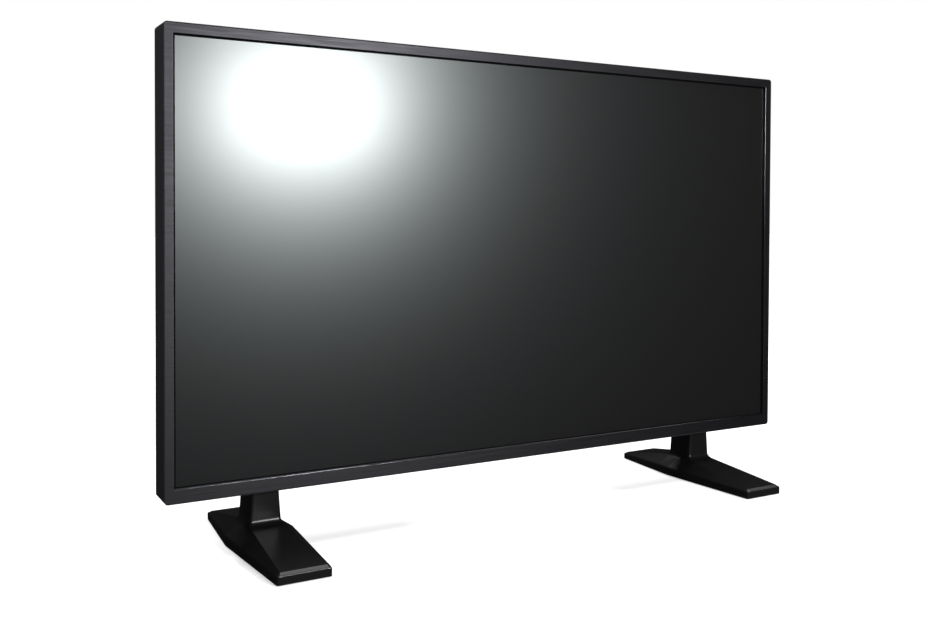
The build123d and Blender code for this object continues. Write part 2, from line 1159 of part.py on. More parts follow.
def make_mains_inlet():
    flange_low = plate_bottom - inlet_flange_thickness
    flange = panel_box(
        inlet_x, inlet_flange_width / 2, inlet_flange_height / 2, flange_low, plate_bottom
    )
    body = panel_box(inlet_x, inlet_width / 2, inlet_height / 2, flange_low, inlet_top())
    cavity = panel_box(
        inlet_x,
        inlet_cavity_width / 2,
        inlet_cavity_height / 2,
        flange_low - inlet_flange_thickness,
        flange_low + inlet_cavity_depth,
    )
    inlet = flange + body - cavity
    y = inlet_centre_y()
    for dx, dy in (
        (-inlet_pin_spacing / 2, -inlet_pin_rise / 2),
        (inlet_pin_spacing / 2, -inlet_pin_rise / 2),
        (0.0, inlet_pin_rise),
    ):
        pin = block(
            inlet_x + dx - inlet_pin_width / 2,
            inlet_x + dx + inlet_pin_width / 2,
            y + dy - inlet_pin_height / 2,
            y + dy + inlet_pin_height / 2,
            flange_low + inlet_pin_width,
            flange_low + inlet_cavity_depth + inlet_pin_width,
        )
        inlet = inlet + pin
    return inlet


def make_mains_leads():
    leads = []
    for dx in (-inlet_pin_spacing / 2, 0.0, inlet_pin_spacing / 2):
        leads.append(
            rod_z(
                inlet_x + dx,
                inlet_centre_y(),
                mains_lead_radius,
                inlet_top(),
                inlet_top() + mains_lead_length,
            )
        )
    return group(leads)


def rocker_pivot_z():
    """Height of the rocker's axis, just above the switch flange."""
    return plate_bottom - switch_flange_thickness + rocker_thickness / 2


def make_mains_switch():
    flange_low = plate_bottom - switch_flange_thickness
    flange = panel_box(
        switch_x, switch_flange_width / 2, switch_flange_height / 2, flange_low, plate_bottom
    )
    body = panel_box(
        switch_x, switch_width / 2, switch_height / 2, flange_low, flange_low + switch_length
    )
    pocket = panel_box(
        switch_x,
        rocker_width / 2 + rocker_gap,
        rocker_height / 2 + rocker_gap,
        flange_low - switch_flange_thickness,
        flange_low + rocker_pocket_depth,
    )
    pivot_bore = rod_y(
        switch_x,
        rocker_pivot_z(),
        rocker_pivot_radius + rocker_pivot_gap,
        inlet_centre_y() - switch_height / 2 + socket_shell,
        inlet_centre_y() + switch_height / 2 - socket_shell,
    )
    return flange + body - pocket - pivot_bore


def make_mains_rocker():
    """Two-way rocker with a shallow V face, resting tilted to its off side."""
    z = rocker_pivot_z()
    half = rocker_width / 2
    low = z - rocker_thickness / 2
    high = z + rocker_thickness / 2
    rise = rocker_thickness / 4
    outline = [
        (switch_x - half, low - rise),
        (switch_x, low),
        (switch_x + half, low - rise),
        (switch_x + half, high - rise),
        (switch_x, high),
        (switch_x - half, high - rise),
    ]
    y = inlet_centre_y()
    paddle = front_profile(outline, y - rocker_height / 2, y + rocker_height / 2)
    pivot = rod_y(
        switch_x,
        z,
        rocker_pivot_radius,
        y - rocker_height / 2 - rocker_gap - rocker_pivot_length,
        y + rocker_height / 2 + rocker_gap + rocker_pivot_length,
    )
    rocker = paddle + pivot
    axis = Axis((switch_x, y, z), (0, 1, 0))
    return rocker.rotate(axis, rocker_tilt)


def make_terminal_plate():
    plate = block(
        -half_bay + cover_wall,
        half_bay - cover_wall,
        bay_y + socket_shell / 2,
        inner_back - socket_shell / 2,
        plate_bottom,
        plate_top,
    )
    z0 = plate_bottom - cover_wall
    z1 = plate_top + cover_wall
    cutters = [jack_rod(jack_nose_radius + terminal_gap, z0, z1)]
    for name, x in socket_places().items():
        width, height, _ = socket_sizes[name]
        if name != "audio_jack":
            cutters.append(
                block(
                    x - terminal_gap,
                    x + width + terminal_gap,
                    board_back - terminal_gap,
                    board_back + height + terminal_gap,
                    z0,
                    z1,
                )
            )
    cutters.append(
        panel_box(
            inlet_x, inlet_width / 2 + terminal_gap, inlet_height / 2 + terminal_gap, z0, z1
        )
    )
    cutters.append(
        panel_box(
            switch_x, switch_width / 2 + terminal_gap, switch_height / 2 + terminal_gap, z0, z1
        )
    )
    return plate - cutters


# Rear cover
def housing_solid(inset):
    """The raised back housing, narrowing towards the back, less an inset."""
    start = pan_back + inset
    end = back_y - inset
    half = housing_half - inset
    low = display_bottom + inset
    high = housing_top - inset
    sections = []
    for y, slope in ((start, 0.0), (end, housing_slope)):
        plane = Plane(origin=(0, y, 0), x_dir=(1, 0, 0), z_dir=(0, -1, 0))
        corners = [
            (-half + slope, low),
            (half - slope, low),
            (half - slope, high - slope),
            (-half + slope, high - slope),
        ]
        sections.append(plane * make_face(Polyline(*corners, close=True)))
    housing = loft(sections, ruled=True)
    outer_edges = [edge for edge in housing.edges() if edge.bounding_box().max.Y > end - cover_wall]
    return fillet(outer_edges, housing_edge_radius - inset)


def cover_pan(inset, y0, y1):
    """Flat part of the cover, inside the bezel's skirt, less an inset."""
    edge = bezel_wall + cover_gap + inset
    radius = bezel_corner_radius - bezel_wall - cover_gap
    return rounded_slab(
        half_display - edge, display_bottom + edge, display_top - edge, radius, y0, y1
    )


def speaker_slots(side):
    cutters = []
    first = side * speaker_x - speaker_slot_pitch * (speaker_slot_count - 1) / 2
    for index in range(speaker_slot_count):
        x = first + index * speaker_slot_pitch
        cutters.append(
            block(
                x - speaker_slot_width / 2,
                x + speaker_slot_width / 2,
                speaker_front() + speaker_wall,
                speaker_front() + speaker_depth - speaker_wall,
                display_bottom - cover_wall,
                display_bottom + 2 * cover_wall,
            )
        )
    return cutters


def vent_slots(low):
    """One row of upright vent slots in the back of the housing."""
    cutters = []
    for index in range(vent_count):
        x = (index - (vent_count - 1) / 2) * vent_pitch
        cutters.append(
            block(
                x - vent_width / 2,
                x + vent_width / 2,
                inner_back - cover_wall,
                back_y + cover_wall,
                low,
                low + vent_length,
            )
        )
    return cutters


def key_places():
    """Height of each control key, from the lowest to the highest."""
    first = display_middle - key_pitch * (len(key_names) - 1) / 2
    return [first + index * key_pitch for index in range(len(key_names))]


def stand_bolt_heights():
    low = display_bottom + stand_bolt_low
    return (low, low + stand_bolt_pitch)


def stand_well(side, grow):
    """Recess in the back where a stand post is bolted, grown by a wall."""
    x = side * foot_x
    half = stand_well_width / 2 + grow
    return block(
        x - half,
        x + half,
        sleeve_back + cover_wall - grow,
        back_y + cover_wall,
        display_bottom - cover_wall,
        display_bottom + stand_well_height + grow,
    )


def make_rear_cover():
    pan_front = skirt_back - cover_tongue
    outer = cover_pan(0.0, pan_front, pan_back) + housing_solid(0.0)
    bay = block(
        -half_bay, half_bay, bay_y, back_y + cover_wall, display_bottom - cover_wall, bay_top
    )
    wells = [stand_well(side, 0.0) for side in (-1, 1)]
    outer = outer - bay - wells
    inner = cover_pan(cover_wall, pan_front - cover_wall, pan_inner)
    passage = block(
        -housing_half + housing_slope,
        housing_half - housing_slope,
        pan_inner - cover_wall,
        pan_back + cover_wall,
        display_bottom + bezel_wall + cover_gap + cover_wall,
        housing_top - housing_slope,
    )
    bay_wall = block(
        -half_bay - cover_wall,
        half_bay + cover_wall,
        bay_y - cover_wall,
        back_y + cover_wall,
        display_bottom - cover_wall,
        bay_top + cover_wall,
    )
    well_walls = [stand_well(side, cover_wall) for side in (-1, 1)]
    inner = inner + passage + housing_solid(cover_wall)
    inner = inner - bay_wall - well_walls
    cover = outer - inner
    window = block(
        -half_bay + bay_window_margin,
        half_bay - bay_window_margin,
        bay_y + socket_shell,
        back_y - bay_step - cover_wall,
        bay_top - cover_wall,
        bay_top + cover_wall,
    )
    cutters = [window]
    cutters += post_slots()
    cutters += speaker_slots(-1)
    cutters += speaker_slots(1)
    cutters += vent_slots(housing_top - housing_slope - vent_drop - vent_length)
    cutters += vent_slots(display_bottom + lower_vent_height)
    for x, z in bush_places():
        cutters.append(
            rod_y(x, z, bush_radius + bush_gap, inner_back - cover_wall, back_y + cover_wall)
        )
    for side in (-1, 1):
        for z in stand_bolt_heights():
            x = side * foot_x
            cutters.append(
                rod_y(x, z, stand_bolt_radius, sleeve_back - cover_wall, back_y)
            )
    for z in key_places():
        half_x = key_width / 2 + key_gap
        half_z = key_length / 2 + key_gap
        cutters.append(
            block(
                key_x - half_x,
                key_x + half_x,
                pan_inner - cover_wall,
                pan_back + cover_wall,
                z - half_z,
                z + half_z,
            )
        )
    for x, z in bracket_places():
        cutters.append(
            rod_y(
                x, z, cover_screw_radius, pan_inner - cover_wall, pan_back + cover_wall
            )
        )
    return cover - cutters


# Brackets between the module and the rear cover
def bracket_places():
    """Screw places as (x, z) along the two sides, clear of the housing."""
    low = tray_bottom + bracket_edge_inset
    high = tray_top - bracket_edge_inset
    places = []
    for x in (-bracket_x, bracket_x):
        for z in (low, (low + high) / 2 - bracket_middle_drop, high):
            places.append((x, z))
    return places


def make_cover_brackets():
    """Z-shaped steel brackets, tapped for the cover screws."""
    back = pan_inner
    brackets = []
    for x, z in bracket_places():
        half = bracket_foot / 2
        outline = [
            (tray_back, z + half + bracket_foot),
            (tray_back, z + half - bracket_sheet),
            (back - bracket_sheet, z + half - bracket_sheet),
            (back - bracket_sheet, z - half),
            (back, z - half),
            (back, z + half),
            (tray_back + bracket_sheet, z + half),
            (tray_back + bracket_sheet, z + half + bracket_foot),
        ]
        bracket = side_profile(outline, x - bracket_width / 2, x + bracket_width / 2)
        bracket = bracket - rod_y(x, z, cover_screw_radius, tray_back, back + bracket_sheet)
        brackets.append(bracket)
    return group(brackets)


def make_cover_screws():
    screws = []
    for x, z in bracket_places():
        shank_front = pan_inner - bracket_sheet - cover_screw_radius
        shank = rod_y(x, z, cover_screw_radius, shank_front, pan_back)
        head = rod_y(
            x, z, cover_screw_head_radius, pan_back, pan_back + cover_screw_head_height
        )
        screws.append(shank + head)
    return group(screws)


def make_board_screws():
    screws = []
    for x, z in all_board_places():
        shank = rod_y(x, z, screw_radius, carrier_back, board_back)
        head = rod_y(x, z, screw_head_radius, board_back, board_back + screw_head_height)
        screws.append(shank + head)
    return group(screws)


# Wall mount rails and bushes
def make_wall_mount_rail(side):
    """Hat-section steel rail that carries the bushes and the board carrier."""
    x = side * wall_pattern / 2
    half = rail_width / 2
    inner = half - rail_sheet
    outline = [
        (x - half - rail_flange, tray_back),
        (x - inner, tray_back),
        (x - inner, rail_back - rail_sheet),
        (x + inner, rail_back - rail_sheet),
        (x + inner, tray_back),
        (x + half + rail_flange, tray_back),
        (x + half + rail_flange, tray_back + rail_sheet),
        (x + half, tray_back + rail_sheet),
        (x + half, rail_back),
        (x - half, rail_back),
        (x - half, tray_back + rail_sheet),
        (x - half - rail_flange, tray_back + rail_sheet),
    ]
    low = display_middle - rail_height / 2
    return plan_profile(outline, low, low + rail_height)


def make_wall_mount_bushes():
    bushes = []
    for x, z in bush_places():
        bush = rod_y(x, z, bush_radius, rail_back, back_y)
        bore = rod_y(x, z, bush_hole_radius, back_y - bush_hole_depth, back_y + bush_gap)
        bushes.append(bush - bore)
    return group(bushes)


# Stand sockets, feet and bolts
def make_stand_socket(side):
    """Steel sleeve for the post, welded by two webs to a plate on the tray."""
    x = side * foot_x
    half_in = post_width / 2 + socket_gap
    half_out = half_in + socket_wall
    low = display_bottom + socket_start
    sleeve_front = post_front - socket_gap - socket_wall
    outer = block(x - half_out, x + half_out, sleeve_front, sleeve_back, low, post_top)
    hole = block(
        x - half_in,
        x + half_in,
        sleeve_front + socket_wall,
        sleeve_back - socket_wall,
        low - socket_wall,
        post_top + socket_wall,
    )
    socket = outer - hole
    plate_low = tray_bottom + socket_wall
    plate = block(
        x - socket_plate_width / 2,
        x + socket_plate_width / 2,
        tray_back,
        tray_back + socket_plate_thickness,
        plate_low,
        post_top + post_wall,
    )
    webs = []
    for offset in (-half_out, half_out - socket_web_thickness):
        webs.append(
            block(
                x + offset,
                x + offset + socket_web_thickness,
                tray_back + socket_plate_thickness,
                sleeve_front,
                plate_low,
                post_top,
            )
        )
    socket = socket + plate + webs
    for z in stand_bolt_heights():
        socket = socket - rod_y(x, z, stand_bolt_radius, post_middle, back_y)
    return socket


def foot_half_width(y):
    """Half width of the foot's rim at a place along it."""
    end = foot_end_width / 2
    middle = foot_kink_width / 2
    if y < foot_kink:
        share = (y - foot_front) / (foot_kink - foot_front)
    else:
        share = (foot_rear - y) / (foot_rear - foot_kink)
    return end + share * (middle - end)


def foot_rim_height(y):
    if y < foot_kink:
        share = (y - foot_front) / (foot_kink - foot_front)
        return foot_rim_front + share * (foot_rim_middle - foot_rim_front)
    share = (foot_rear - y) / (foot_rear - foot_kink)
    return foot_rim_rear + share * (foot_rim_middle - foot_rim_rear)


def end_rounding(distance, radius):
    """How far a quarter round of a radius stands in, at a distance from its end."""
    left = max(radius - distance, 0.0)
    return radius - (radius * radius - left * left) ** 0.5


def foot_section(y, half_top, top, inset, base):
    """Upright cross section of the foot, less an inset on all but its base.

    The outside, which has no inset, is rounded at its ends. The hollow is not.
    """
    distance = min(y - foot_front, foot_rear - y)
    narrowing = inset or end_rounding(distance, foot_corner_radius)
    lowering = inset or end_rounding(distance, foot_edge_radius)
    rim = foot_rim_height(y) - lowering
    half_rim = foot_half_width(y) - narrowing
    half_top = half_top - narrowing
    top = max(top - lowering, rim + foot_edge_rise)
    edge_share = foot_edge_radius / (half_rim - half_top)
    corners = [
        (half_rim, base),
        (half_rim, rim - foot_edge_radius),
        (half_rim - foot_edge_radius, rim + edge_share * (top - rim)),
        (half_top, top),
    ]
    mirrored = [(-x, z) for x, z in reversed(corners)]
    end_shift = {foot_front: inset, foot_rear: -inset}.get(y, 0.0)
    plane = Plane(origin=(0, y + end_shift, 0), x_dir=(1, 0, 0), z_dir=(0, -1, 0))
    return plane * make_face(Polyline(*corners, *mirrored, close=True))


def foot_end_stations(end, inward, rim, top):
    """Cross sections (y, half top, top) from an end of the foot to its bevel's foot."""
    half_top = foot_front_top_width / 2
    stations = []
    for share in foot_corner_shares:
        distance = share * foot_corner_radius
        risen = distance / foot_bevel_length
        stations.append(
            (
                end + inward * distance,
                half_top + foot_bevel_flare * (1 - risen),
                rim + risen * (top - rim),
            )
        )
    stations.append((end + inward * foot_bevel_length, half_top, top))
    return stations


def foot_body(inset, base):
    """Foot without its neck: ruled between cross sections from front to rear."""
    half_neck = neck_base_width / 2
    front = foot_end_stations(foot_front, 1, foot_rim_front, foot_front_top_height)
    rear = foot_end_stations(foot_rear, -1, foot_rim_rear, foot_rear_top_height)
    middle = [
        (neck_front, half_neck, neck_base_height),
        (foot_kink, half_neck, neck_base_height),
        (neck_rear, half_neck, neck_base_height),
    ]
    stations = front + middle + rear[::-1]
    if inset:
        stations = front[:1] + front[-1:] + middle + rear[-1:] + rear[:1]
    return loft([foot_section(*station, inset, base) for station in stations], ruled=True)


def foot_ridge(y):
    """Half width and height of the foot's flat top at a place along it."""
    front = (
        foot_front + foot_bevel_length,
        foot_front_top_width / 2,
        foot_front_top_height,
    )
    rear = (foot_rear - foot_bevel_length, foot_front_top_width / 2, foot_rear_top_height)
    end, start = (front, neck_front) if y < foot_kink else (rear, neck_rear)
    share = (y - start) / (end[0] - start)
    share = max(share, 0.0)
    half_neck = neck_base_width / 2
    half = half_neck + share * (end[1] - half_neck)
    return half, neck_base_height + share * (end[2] - neck_base_height)


def flare_section(y):
    """Cross section of the neck, rounded into the foot's flanks at its two sides."""
    half_ridge, ridge = foot_ridge(y)
    half_rim = foot_half_width(y)
    rim = foot_rim_height(y)
    edge_share = foot_edge_radius / (half_rim - half_ridge)
    right = [
        (neck_top_width / 2, display_bottom - neck_top_gap),
        (half_ridge, ridge - neck_flare_sink),
        (half_rim - foot_edge_radius, rim + edge_share * (ridge - rim) - neck_flare_sink),
    ]
    left = [(-x, z) for x, z in reversed(right)]
    face = make_face(Polyline(*right, *left, close=True))
    corners = [
        face.vertices().sort_by_distance((side * half_ridge, ridge))[0] for side in (-1, 1)
    ]
    plane = Plane(origin=(0, y, 0), x_dir=(1, 0, 0), z_dir=(0, -1, 0))
    return plane * fillet(corners, neck_side_fillet)


def neck_body():
    """Neck that flares into the foot at its front, back and sides."""
    top = display_bottom - neck_top_gap
    reach_front = neck_front - neck_reach
    reach_rear = neck_rear + neck_reach
    face = make_face(
        Polyline(
            (neck_front, top),
            (neck_front, neck_base_height),
            (reach_front, foot_ridge(reach_front)[1]),
            (reach_front, foot_rim_middle),
            (reach_rear, foot_rim_middle),
            (reach_rear, foot_ridge(reach_rear)[1]),
            (neck_rear, neck_base_height),
            (neck_rear, top),
            close=True,
        )
    )
    front_corner = face.vertices().sort_by_distance((neck_front, neck_base_height))[0]
    face = fillet(front_corner, neck_front_fillet)
    rear_corner = face.vertices().sort_by_distance((neck_rear, neck_base_height))[0]
    face = fillet(rear_corner, neck_rear_fillet)
    half_limit = foot_kink_width / 2
    plane = Plane(origin=(-half_limit, 0, 0), x_dir=(0, 1, 0), z_dir=(1, 0, 0))
    long_solid = extrude(plane * face, 2 * half_limit)
    places = (reach_front, neck_front, foot_kink, neck_rear, reach_rear)
    neck = long_solid & loft([flare_section(y) for y in places], ruled=True)
    uprights = [edge for edge in neck.edges() if edge.bounding_box().size.Z > neck_edge_least]
    return fillet(uprights, neck_corner_radius)


def make_foot_cover(side):
    cover = foot_body(0.0, foot_underside) + neck_body()
    cover = cover - foot_body(foot_wall, foot_underside - foot_wall)
    half = neck_top_width / 2 - foot_wall
    shaft = block(
        -half,
        half,
        neck_front + foot_wall,
        neck_rear - foot_wall,
        foot_underside,
        display_bottom,
    )
    cover = cover - shaft
    return Pos(side * foot_x, 0, 0) * cover


def foot_pad_places(side):
    x = side * foot_x
    places = []
    for dx in (-pad_from_middle, pad_from_middle):
        for y in (foot_front + pad_from_end, foot_rear - pad_from_end):
            places.append((x + dx, y))
    return places


def make_foot_plate(side):
    """Steel plate inside the foot, which carries the post."""
    x = side * foot_x
    gap = foot_wall + foot_plate_gap
    end = foot_end_width / 2 - gap
    middle = foot_kink_width / 2 - gap
    outline = [
        (x - end, foot_front + gap),
        (x + end, foot_front + gap),
        (x + middle, foot_kink),
        (x + end, foot_rear - gap),
        (x - end, foot_rear - gap),
        (x - middle, foot_kink),
    ]
    return plan_profile(outline, plate_z, plate_z + foot_plate_thickness)


def make_stand_post(side):
    """Square steel tube that stands on the foot plate, welded round its base."""
    x = side * foot_x
    half = post_width / 2
    base = plate_z + foot_plate_thickness
    post = block(x - half, x + half, post_front, post_rear, base, post_top)
    hollow = block(
        x - half + post_wall,
        x + half - post_wall,
        post_front + post_wall,
        post_rear - post_wall,
        base - post_wall,
        post_top + post_wall,
    )
    post = post - hollow
    for z in stand_bolt_heights():
        post = post - rod_y(x, z, stand_bolt_radius, post_middle, post_rear + post_wall)
    return post


def make_foot_pads():
    pads = []
    for side in (-1, 1):
        for x, y in foot_pad_places(side):
            pads.append(rod_z(x, y, pad_radius, 0.0, pad_height))
    return group(pads)


def make_stand_bolts():
    bolts = []
    for side in (-1, 1):
        x = side * foot_x
        for z in stand_bolt_heights():
            seat = sleeve_back + cover_wall
            shank = rod_y(x, z, stand_bolt_radius, post_rear - post_wall, seat)
            head = rod_y(x, z, stand_bolt_head_radius, seat, seat + stand_bolt_head_height)
            bolts.append(shank + head)
    return group(bolts)


# Speakers
def speaker_front():
    return bay_y + cover_wall


def make_speaker_box(side):
    x = side * speaker_x
    low = display_bottom + cover_wall
    front = speaker_front()
    outer = block(
        x - speaker_width / 2,
        x + speaker_width / 2,
        front,
        front + speaker_depth,
        low,
        low + speaker_height,
    )
    inner = block(
        x - speaker_width / 2 + speaker_wall,
        x + speaker_width / 2 - speaker_wall,
        front + speaker_wall,
        front + speaker_depth - speaker_wall,
        low + speaker_wall,
        low + speaker_height - speaker_wall,
    )
    mouth = rod_z(
        x, front + speaker_depth / 2, driver_radius - speaker_wall, low, low + speaker_wall
    )
    return outer - inner - mouth


def make_speaker_drivers():
    """Round drivers: frame, dished cone and magnet, facing down."""
    drivers = []
    for side in (-1, 1):
        x = side * speaker_x
        y = speaker_front() + speaker_depth / 2
        low = display_bottom + cover_wall + speaker_wall
        frame = rod_z(x, y, driver_radius, low, low + driver_frame_thickness)
        magnet = rod_z(x, y, driver_magnet_radius, low, low + driver_depth)
        dish_height = driver_frame_thickness - socket_shell
        dish = Pos(x, y, low + dish_height / 2) * Cone(
            driver_magnet_radius, driver_magnet_radius / 3, dish_height
        )
        drivers.append(frame + magnet - dish)
    return group(drivers)


# Control keys
def key_board_back():
    """Plane on which the key switches stand."""
    stem_end = key_stem_end()
    return stem_end - key_travel - key_contact_gap - key_switch_height


def key_flange_back():
    return pan_inner - key_gap


def key_stem_end():
    return key_flange_back() - key_flange_thickness - key_stem_length


def make_key(z):
    cap_plane = Plane(
        origin=(key_x, pan_back + key_stand_out, z), x_dir=(1, 0, 0), z_dir=(0, -1, 0)
    )
    cap_length = pan_back + key_stand_out - key_flange_back()
    cap = extrude(
        cap_plane * RectangleRounded(key_width, key_length, key_corner_radius), cap_length
    )
    cap = fillet(cap.edges().group_by(Axis.Y)[-1], key_gap)
    flange = block(
        key_x - key_width / 2 - key_flange,
        key_x + key_width / 2 + key_flange,
        key_flange_back() - key_flange_thickness,
        key_flange_back(),
        z - key_length / 2 - key_flange,
        z + key_length / 2 + key_flange,
    )
    stem = rod_y(key_x, z, key_stem_radius, key_stem_end(), key_flange_back())
    return cap + flange + stem


def make_key_board():
    """Narrow board with one switch under each key, on two posts from the tray."""
    heights = key_places()
    back = key_board_back()
    low = heights[0] - key_pitch / 2
    high = heights[-1] + key_pitch / 2
    half = key_board_width / 2
    board = block(key_x - half, key_x + half, back - board_thickness, back, low, high)
    switches = []
    for z in heights:
        size = key_switch_size / 2
        switches.append(
            block(key_x - size, key_x + size, back, back + key_switch_height, z - size, z + size)
        )
    posts = [
        rod_y(key_x, z, carrier_standoff_radius, tray_back, back - board_thickness)
        for z in (low + board_hole_inset, high - board_hole_inset)
    ]
    return board + switches + posts


# Remote control receiver
def make_receiver_window():
    half_x = receiver_window_width / 2
    half_y = receiver_window_depth / 2
    inner = display_bottom + bezel_wall
    pane = receiver_hole(half_x, half_y, display_bottom, inner)
    flange = receiver_hole(
        half_x + receiver_flange,
        half_y + receiver_flange - receiver_gap,
        inner,
        inner + receiver_flange_thickness,
    )
    return pane + flange


def make_receiver_board():
    low = display_bottom + bezel_wall + receiver_flange_thickness
    can = receiver_hole(
        receiver_window_width / 4, receiver_window_depth / 3, low, low + receiver_can_height
    )
    board = receiver_hole(
        receiver_board_width / 2,
        receiver_board_depth / 2,
        low + receiver_can_height,
        low + receiver_can_height + receiver_board_thickness,
    )
    return can + board


# Flat cables
def make_signal_ribbon():
    """Flat cable from the top of the main board up to the timing board."""
    x = main_board_left + ribbon_width / 2 + 2 * board_hole_inset
    board_top = board_bottom + main_board_height
    start = board_back
    end = tray_back + timing_standoff + board_thickness
    timing_low = tray_top - timing_board_drop - timing_board_height
    lift = ribbon_thickness
    plug_low = timing_low - ribbon_plug_height
    outline = [
        (start, board_top - ribbon_overlap),
        (start + lift, board_top - ribbon_overlap),
        (start + lift, board_top + ribbon_rise),
        (end + lift, board_top + ribbon_rise + ribbon_fall),
        (end + lift, plug_low),
        (end, plug_low),
        (end, board_top + ribbon_rise + ribbon_fall - lift),
        (start, board_top + ribbon_rise - lift),
    ]
    ribbon = side_profile(outline, x - ribbon_width / 2, x + ribbon_width / 2)
    plug_half = ribbon_width / 2
    plug = block(
        x - plug_half,
        x + plug_half,
        end - board_thickness,
        end + lift,
        plug_low,
        timing_low,
    )
    return ribbon + plug


def make_power_harness():
    """Bundle of wires that arches from the power board to the main board."""
    left = power_board_left + power_board_width - 2 * board_hole_inset
    right = main_board_left + 2 * board_hole_inset
    rise = harness_rise
    z = board_bottom + harness_low
    outline = [
        (left, board_back),
        (left + harness_thickness, board_back),
        (left + harness_thickness, board_back + rise - harness_thickness),
        (right - harness_thickness, board_back + rise - harness_thickness),
        (right - harness_thickness, board_back),
        (right, board_back),
        (right, board_back + rise),
        (left, board_back + rise),
    ]
    return plan_profile(outline, z, z + harness_width)


def make_parts():
    """Build every piece and return them by name."""
    parts = {
        "front_bezel": make_front_bezel(),
        "rear_cover": make_rear_cover(),
        "screen_gasket": make_screen_gasket(),
        "front_polariser": panel_slab(polariser_y, glass_y, module_frame_lap),
        "lcd_glass": panel_slab(glass_y, mid_frame_y, 0.0),
        "panel_films": make_panel_films(),
        "module_front_frame": make_module_front_frame(),
        "module_mid_frame": make_module_mid_frame(),
        "prism_sheet": make_prism_sheet(),
        "diffuser_sheet": make_diffuser_sheet(),
        "light_guide": make_light_guide(),
        "reflector_sheet": make_reflector_sheet(),
        "led_strips": make_led_strips(),
        "led_rails": make_led_rails(),
        "backlight_tray": make_backlight_tray(),
        "source_boards": group([make_source_board(side) for side in (-1, 1)]),
        "timing_board": make_timing_board(),
        "timing_shield": make_timing_shield(),
        "board_carrier": make_board_carrier(),
        "main_board": make_main_board(),
        "main_heatsink": make_main_heatsink(),
        "power_board": make_power_board(),
        "power_heatsinks": make_power_heatsinks(),
        "hdmi_socket": make_hdmi_socket(),
        "dvi_socket": make_d_sub_socket("dvi_socket"),
        "vga_socket": make_d_sub_socket("vga_socket"),
        "network_socket": make_network_socket(),
        "usb_socket": make_usb_socket(),
        "audio_jack": make_audio_jack(),
        "terminal_plate": make_terminal_plate(),
        "mains_inlet": make_mains_inlet(),
        "mains_leads": make_mains_leads(),
        "mains_switch": make_mains_switch(),
        "mains_rocker": make_mains_rocker(),
        "signal_ribbon": make_signal_ribbon(),
        "power_harness": make_power_harness(),
        "speaker_boxes": group([make_speaker_box(side) for side in (-1, 1)]),
        "speaker_drivers": make_speaker_drivers(),
        "key_board": make_key_board(),
        "receiver_window": make_receiver_window(),
        "receiver_board": make_receiver_board(),
        "wall_mount_rails": group([make_wall_mount_rail(side) for side in (-1, 1)]),
        "wall_mount_bushes": make_wall_mount_bushes(),
        "cover_brackets": make_cover_brackets(),
        "cover_screws": make_cover_screws(),
        "board_screws": make_board_screws(),
    }
    for side, word in ((-1, "left"), (1, "right")):
        parts["foot_cover_" + word] = make_foot_cover(side)
    parts["foot_plates"] = group([make_foot_plate(side) for side in (-1, 1)])
    parts["stand_posts"] = group([make_stand_post(side) for side in (-1, 1)])
    parts["stand_sockets"] = group([make_stand_socket(side) for side in (-1, 1)])
    parts["foot_pads"] = make_foot_pads()
    parts["stand_bolts"] = make_stand_bolts()
    for name, z in zip(key_names, key_places()):
        parts[name] = make_key(z)
    return parts


os.makedirs("parts", exist_ok=True)
for part_name, part_shape in make_parts().items():
    export_step(part_shape, "parts/" + part_name + ".step")
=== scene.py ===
"""Looks of a flat screen display on two feet, built round its fixed frame.

The frame holds every solid at its real size. This script gives each of them its
finish, models the fasteners, marks and thin trim that need finer shapes, and
sets up the studio and the camera. All lengths are written in millimetres and
turned to metres where they are used.
"""

from __future__ import annotations

import logging
import math
from dataclasses import dataclass
from enum import Enum

import bpy
from mathutils import Matrix, Vector

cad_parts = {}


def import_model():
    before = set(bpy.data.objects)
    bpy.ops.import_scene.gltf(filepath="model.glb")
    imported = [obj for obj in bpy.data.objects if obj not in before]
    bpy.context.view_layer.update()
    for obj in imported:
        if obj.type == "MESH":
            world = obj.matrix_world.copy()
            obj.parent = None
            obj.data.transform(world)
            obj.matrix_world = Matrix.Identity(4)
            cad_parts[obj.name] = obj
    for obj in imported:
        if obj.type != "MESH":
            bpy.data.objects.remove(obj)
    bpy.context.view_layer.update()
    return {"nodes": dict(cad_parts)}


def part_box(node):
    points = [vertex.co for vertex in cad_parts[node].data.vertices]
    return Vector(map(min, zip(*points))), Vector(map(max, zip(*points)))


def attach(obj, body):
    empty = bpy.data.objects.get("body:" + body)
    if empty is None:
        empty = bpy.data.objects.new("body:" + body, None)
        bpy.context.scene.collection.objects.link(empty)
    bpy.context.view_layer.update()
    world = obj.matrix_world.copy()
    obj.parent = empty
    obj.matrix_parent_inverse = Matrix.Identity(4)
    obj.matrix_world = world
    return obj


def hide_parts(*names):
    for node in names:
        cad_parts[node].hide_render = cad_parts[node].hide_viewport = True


LOG = logging.getLogger("display")
MM = 0.001
UP = Vector((0.0, 0.0, 1.0))
REAR = Vector((0.0, 1.0, 0.0))
SMOOTH_ANGLE = math.radians(35.0)
QUARTER_TURN = 0.25
HEXAGON_SIDES = 6

# How well a face's normal agrees with the way that the face counts as facing,
# where 1 is fully.
SAME_WAY = 0.9

# Sockets of a Mix node by number: its share, its two numbers, its two colours
# and the output that gives the mixed colour.
MIX_SHARE = 0
NUMBER_A = 2
NUMBER_B = 3
COLOUR_A = 6
COLOUR_B = 7
MIXED_COLOUR = 2

# The sRGB curve: where its straight part ends and how steep that is, and the
# offset and the power of its curved part.
STRAIGHT_END = 0.04045
STRAIGHT_SLOPE = 12.92
CURVE_OFFSET = 0.055
CURVE_POWER = 2.4
FULL_CHANNEL = 255.0

